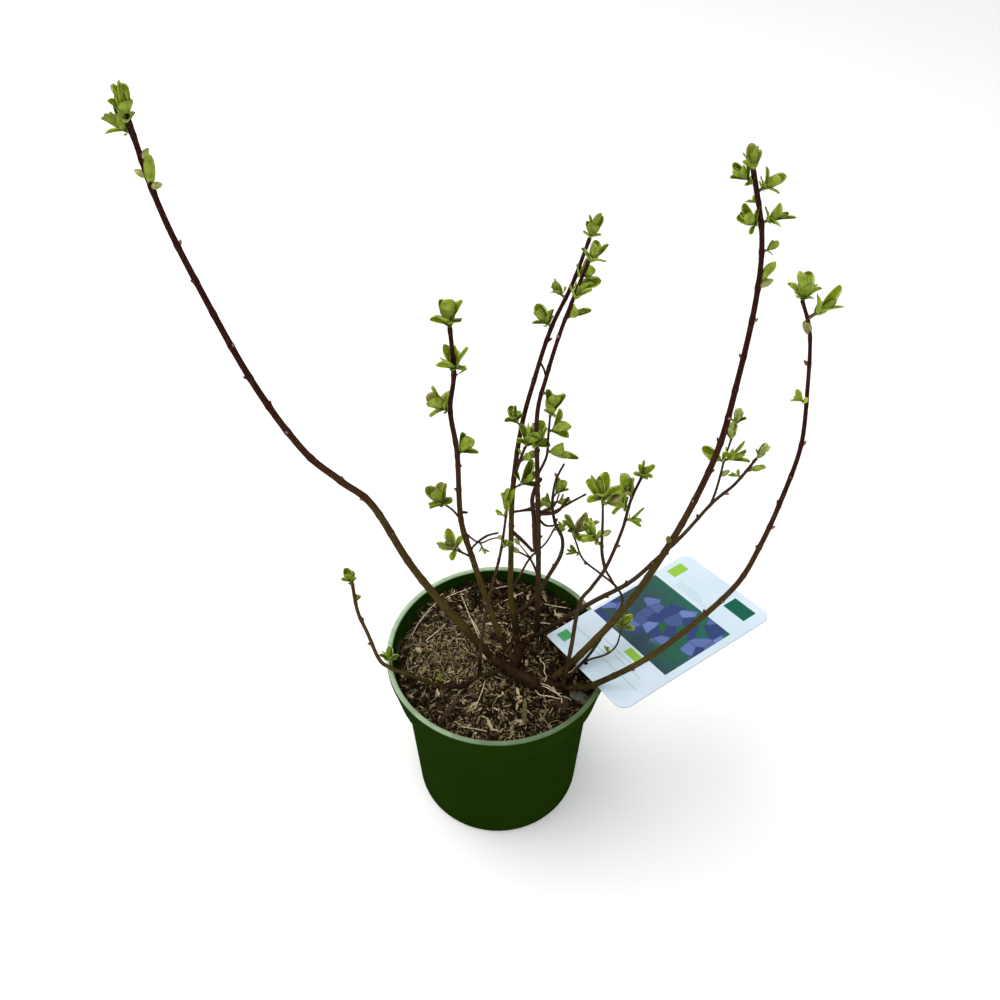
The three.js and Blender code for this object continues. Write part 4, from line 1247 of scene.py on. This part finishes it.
# the tufts take turns through a palette of (upper side, underside, margin, tip)
palettes = {
    "fresh": [(0, 4, 6, 0), (1, 4, 6, 1), (0, 4, 6, 0), (2, 4, 6, 2), (1, 4, 6, 7), (0, 4, 6, 1),
              (2, 4, 6, 0), (1, 4, 7, 7)],
    "dusty": [(0, 5, 7, 7), (1, 5, 6, 3), (1, 5, 7, 7), (0, 4, 7, 3)],
    # the last palette paints light: its paler upper side stands for shoots lit brighter
    "painted_light": [(10, 4, 6, 1), (10, 5, 6, 7), (1, 4, 6, 1), (10, 4, 6, 3)],
}
palettesOfShoots = {
    "leaves_left_middle": "dusty", "leaves_left_low": "dusty", "leaves_thin_top": "dusty",
    # these shoots take the palette with painted light
    "leaves_fork_top": "painted_light", "leaves_fork_left": "painted_light", "leaves_thin_side": "painted_light",
    "leaves_far_right_top": "painted_light",
}
spurTones = (0.10, 0.11, 0.03), (0.13, 0.07, 0.035)
bractTints = (8, 4, 6, 8)
budLeafTints = (8, 8, 7, 7)
heartTints = (0, 1, 6, 6)
creamTints = (9, 9, 9, 9)


def leafTint(name, tint):
    def paint(wire):
        mottle = wire.cloud(240, 3)
        colour = wire.colours(mottle.between(0.32, 0.68), toned(tint, 0.68), toned(tint, 1.25))
        grain = wire.bump(wire.cloud(1300, 2), 0.0002, 0.5)
        return {"Base Color": colour, "Roughness": 0.42 + mottle * 0.2, "Normal": grain}
    return makeMaterial(name, paint, Coat_Weight=0.03, Coat_Roughness=0.35)


def addBlade(shell, base, along, up, length, width, curl, cup, tints, wave=0.0):
    # eight points a ring: margin, upper side with its midrib, margin, underside; the last faces are the tip
    top, under, margin, tip = tints
    side = along.cross(up).normalized()
    up = side.cross(along).normalized()
    centre = base.copy()
    rings = []
    last = 0
    for t in leaf["stations"]:
        bend = radians(curl) * t
        ahead = along * cos(bend) + up * sin(bend)
        normal = up * cos(bend) - along * sin(bend)
        centre = centre + ahead * length * (t - last)
        last = t
        half = 0.5 * width * sqrt(1 - (2 * t ** 1.3 - 1) ** 2)
        half += 0.07 * width * (1 - t) + 0.05
        thick = leaf["thick"] * (0.5 if t in (0, 1) else 1)
        ripple = wave * sin(2.3 * pi * t)
        ring = []
        for share, lower in ((-1, 0), (-0.72, 0), (0, 0), (0.72, 0), (1, 0), (0.72, 1), (0, 1), (-0.72, 1)):
            lift = cup * half * abs(share) ** 1.5 + ripple * half * share
            groove = -0.10 * half if share == 0 else 0
            ring.append(centre + side * share * half + normal * (lift + groove - thick * lower))
        rings.append(ring)
    body = [margin, top, top, margin, under, under, under, under]
    shell.tube(rings, body * (len(rings) - 3) + [margin, tip, tip, margin, under, under, under, under] * 2)


def addSpur(shell, root, heading, length, radius):
    side = heading.orthogonal().normalized()
    up = heading.cross(side)
    rings = []
    for share in (-0.1, 0.15, 0.4, 0.7, 1.0):
        wide = radius * mix(1.15, 0.8, max(share, 0))
        rings.append(ringOf(root + heading * length * share, side, up, wide, 8))
    shell.tube(rings)


# the way a leaf points and its upper side, opened outwards from the heading
def opened(heading, out, degrees):
    spread = radians(degrees)
    return heading * cos(spread) + out * sin(spread), heading * sin(spread) - out * cos(spread)


def leafAxes(heading, out, degrees):
    # an open leaf turns up towards the light
    along, up = opened(heading, out, degrees)
    along.z += leaf["lift"]
    return along.normalized(), up


def addTuft(blades, spurs, line, tuft, draw, extra, tints):
    place, azimuth, rise, spurLength, leaves, leafLength, opening = tuft
    lf = leaf
    root = line.at(place)[0]
    azimuth += draw(-lf["swayTurn"], lf["swayTurn"])
    heading = direction(azimuth, rise + draw(-lf["swayRise"], lf["swayRise"]))
    first = heading.cross(Vector((0.31, 0.23, 0.92))).normalized()
    turnStart = draw(0, 360)
    if leaves == 1 and leafLength < lf["smallBud"]:
        stalk = max(spurLength - 3, 0)
        if stalk > 3:
            addSpur(spurs, root, heading, stalk, 0.6)
        addSwollenBud(blades, root + heading * stalk, heading, spurLength - stalk + leafLength, extra)
        return
    addSpur(spurs, root, heading, spurLength, min(1, 0.45 + leafLength / 30))
    for i in range(leaves):
        out = turned(first, heading, turnStart + goldenTurn * i)
        rank = i / (leaves - 1) if leaves > 1 else 1
        spread = opening * mix(*lf["openings"], rank) + draw(-lf["swayRise"], lf["swayRise"])
        along, up = leafAxes(heading, out, spread)
        base = root + heading * spurLength * mix(*lf["seats"], rank)
        length = leafLength * mix(*lf["shares"], rank) * draw(*lf["sizes"])
        width = length * mix(*lf["widths"], rank) * extra(0.92, 1.08)
        curl = mix(*lf["curls"], rank) + extra(-12, 12)
        if isFree(base + along * 0.6 * length, 0.6) and isFree(base + along * length, 0.6):
            cup = lf["cup"] * extra(0.7, 1.3)
            addBlade(blades, base, along, up, length, width, curl, cup, tints, extra(-0.15, 0.15))
    base = root + heading * spurLength * 0.9
    if leaves > 2 and opening < lf["tightest"]:
        addScales(blades, base, heading, first, leafLength, opening, extra)
    elif leaves > 1:
        addInnerLeaves(blades, base, heading, first, leafLength, extra, tints)
    if leaves > 4:
        addBracts(blades, root + heading * spurLength * 0.45, heading, first, leafLength, extra)


def addSwollenBud(blades, root, heading, length, extra):
    # a bud about to open: a plump egg of pale and rosy scales
    side = heading.orthogonal().normalized()
    up = heading.cross(side)
    outline = [(0, 0.4), (0.14, 0.75), (0.32, 0.98), (0.5, 1), (0.68, 0.84), (0.84, 0.55), (0.95, 0.25),
               (1, 0.05)]
    rings = []
    for share, wide in outline:
        radius = leaf["budPlump"] * length * wide
        rings.append(ringOf(root + heading * length * share, side, up, radius, 10, 0.5 * share))
    blades.tube(rings, [8 if (k + i // 2) % 3 else 7 for i in range(7) for k in range(10)])
    for i in range(3):
        out = turned(side, heading, extra(100, 140) * i)
        start = root + heading * length * 0.1 + out * length * 0.16
        addBlade(blades, start, heading, -out, length * 0.7, length * 0.42, 22, 0.6, budLeafTints)


def addScales(blades, base, heading, first, leafLength, opening, extra):
    # the closed heart of a tuft: rounded scales wrapped over one another in a cone, cream on a small one
    count, tints, climb = (16, creamTints, 0.6) if leafLength < 14 else (9, heartTints, 0.3)
    for i in range(count):
        rank = i / (count - 1)
        out = turned(first, heading, 25 + goldenTurn * i)
        along, up = opened(heading, out, opening * mix(*leaf["scaleOpen"], rank))
        length = leafLength * mix(*leaf["scaleLength"], rank) * extra(*leaf["sizes"])
        start = base + heading * leafLength * climb * rank
        width = length * (0.25 + 0.021 * opening)
        addBlade(blades, start, along, up, length, width, leaf["scaleCurl"], leaf["scaleCup"], tints)


def addInnerLeaves(blades, base, heading, first, leafLength, extra, tints):
    # the small leaves still folded at the heart of a tuft
    lf = leaf
    tints = (1, *tints[1:])
    for i in range(3):
        out = turned(first, heading, 60 + goldenTurn * i)
        along, up = opened(heading, out, 6 + 9 * i)
        length = leafLength * extra(*lf["innerLength"])
        width = length * lf["innerWidth"]
        addBlade(blades, base, along, up, length, width, extra(*lf["innerCurl"]), lf["innerCup"], tints)


def addBracts(blades, base, heading, first, leafLength, extra):
    # short rounded leaves laid back round the foot of the tuft
    lf = leaf
    for i in range(3):
        out = turned(first, heading, 20 + goldenTurn * i)
        along, up = leafAxes(heading, out, extra(*lf["bractSpread"]))
        length = min(leafLength, lf["longestBract"]) * extra(*lf["bractLength"])
        width = length * lf["bractWidth"]
        if isFree(base + along * length, 0.3):
            curl = extra(*lf["bractCurl"])
            addBlade(blades, base, along, up, length, width, curl, lf["bractCup"], bractTints)


def makeLeaves():
    blades = Shell()
    spurs = Shell()
    extra = seededDraw(2024)
    count = 0
    for order, (name, shoot) in enumerate(shoots.items()):
        draw = seededDraw(1000 + 37 * order)
        palette = palettes[palettesOfShoots.get(name, "fresh")]
        for tuft in shoot["tufts"]:
            addTuft(blades, spurs, lines[name], tuft, draw, extra, palette[count % len(palette)])
            count += 1
    replaced = [name for name in shoots if name.startswith("leaves")]
    blades.piece("young_leaves", [leafTint(name, tint) for name, tint in leafTints], replaced)
    skin = cloudyMaterial("green_spur", spurTones, (300, 3), (0.35, 0.65), (0.0003, 0.5), Roughness=0.6)
    spurs.piece("leaf_spurs", [skin])


makeLeaves()
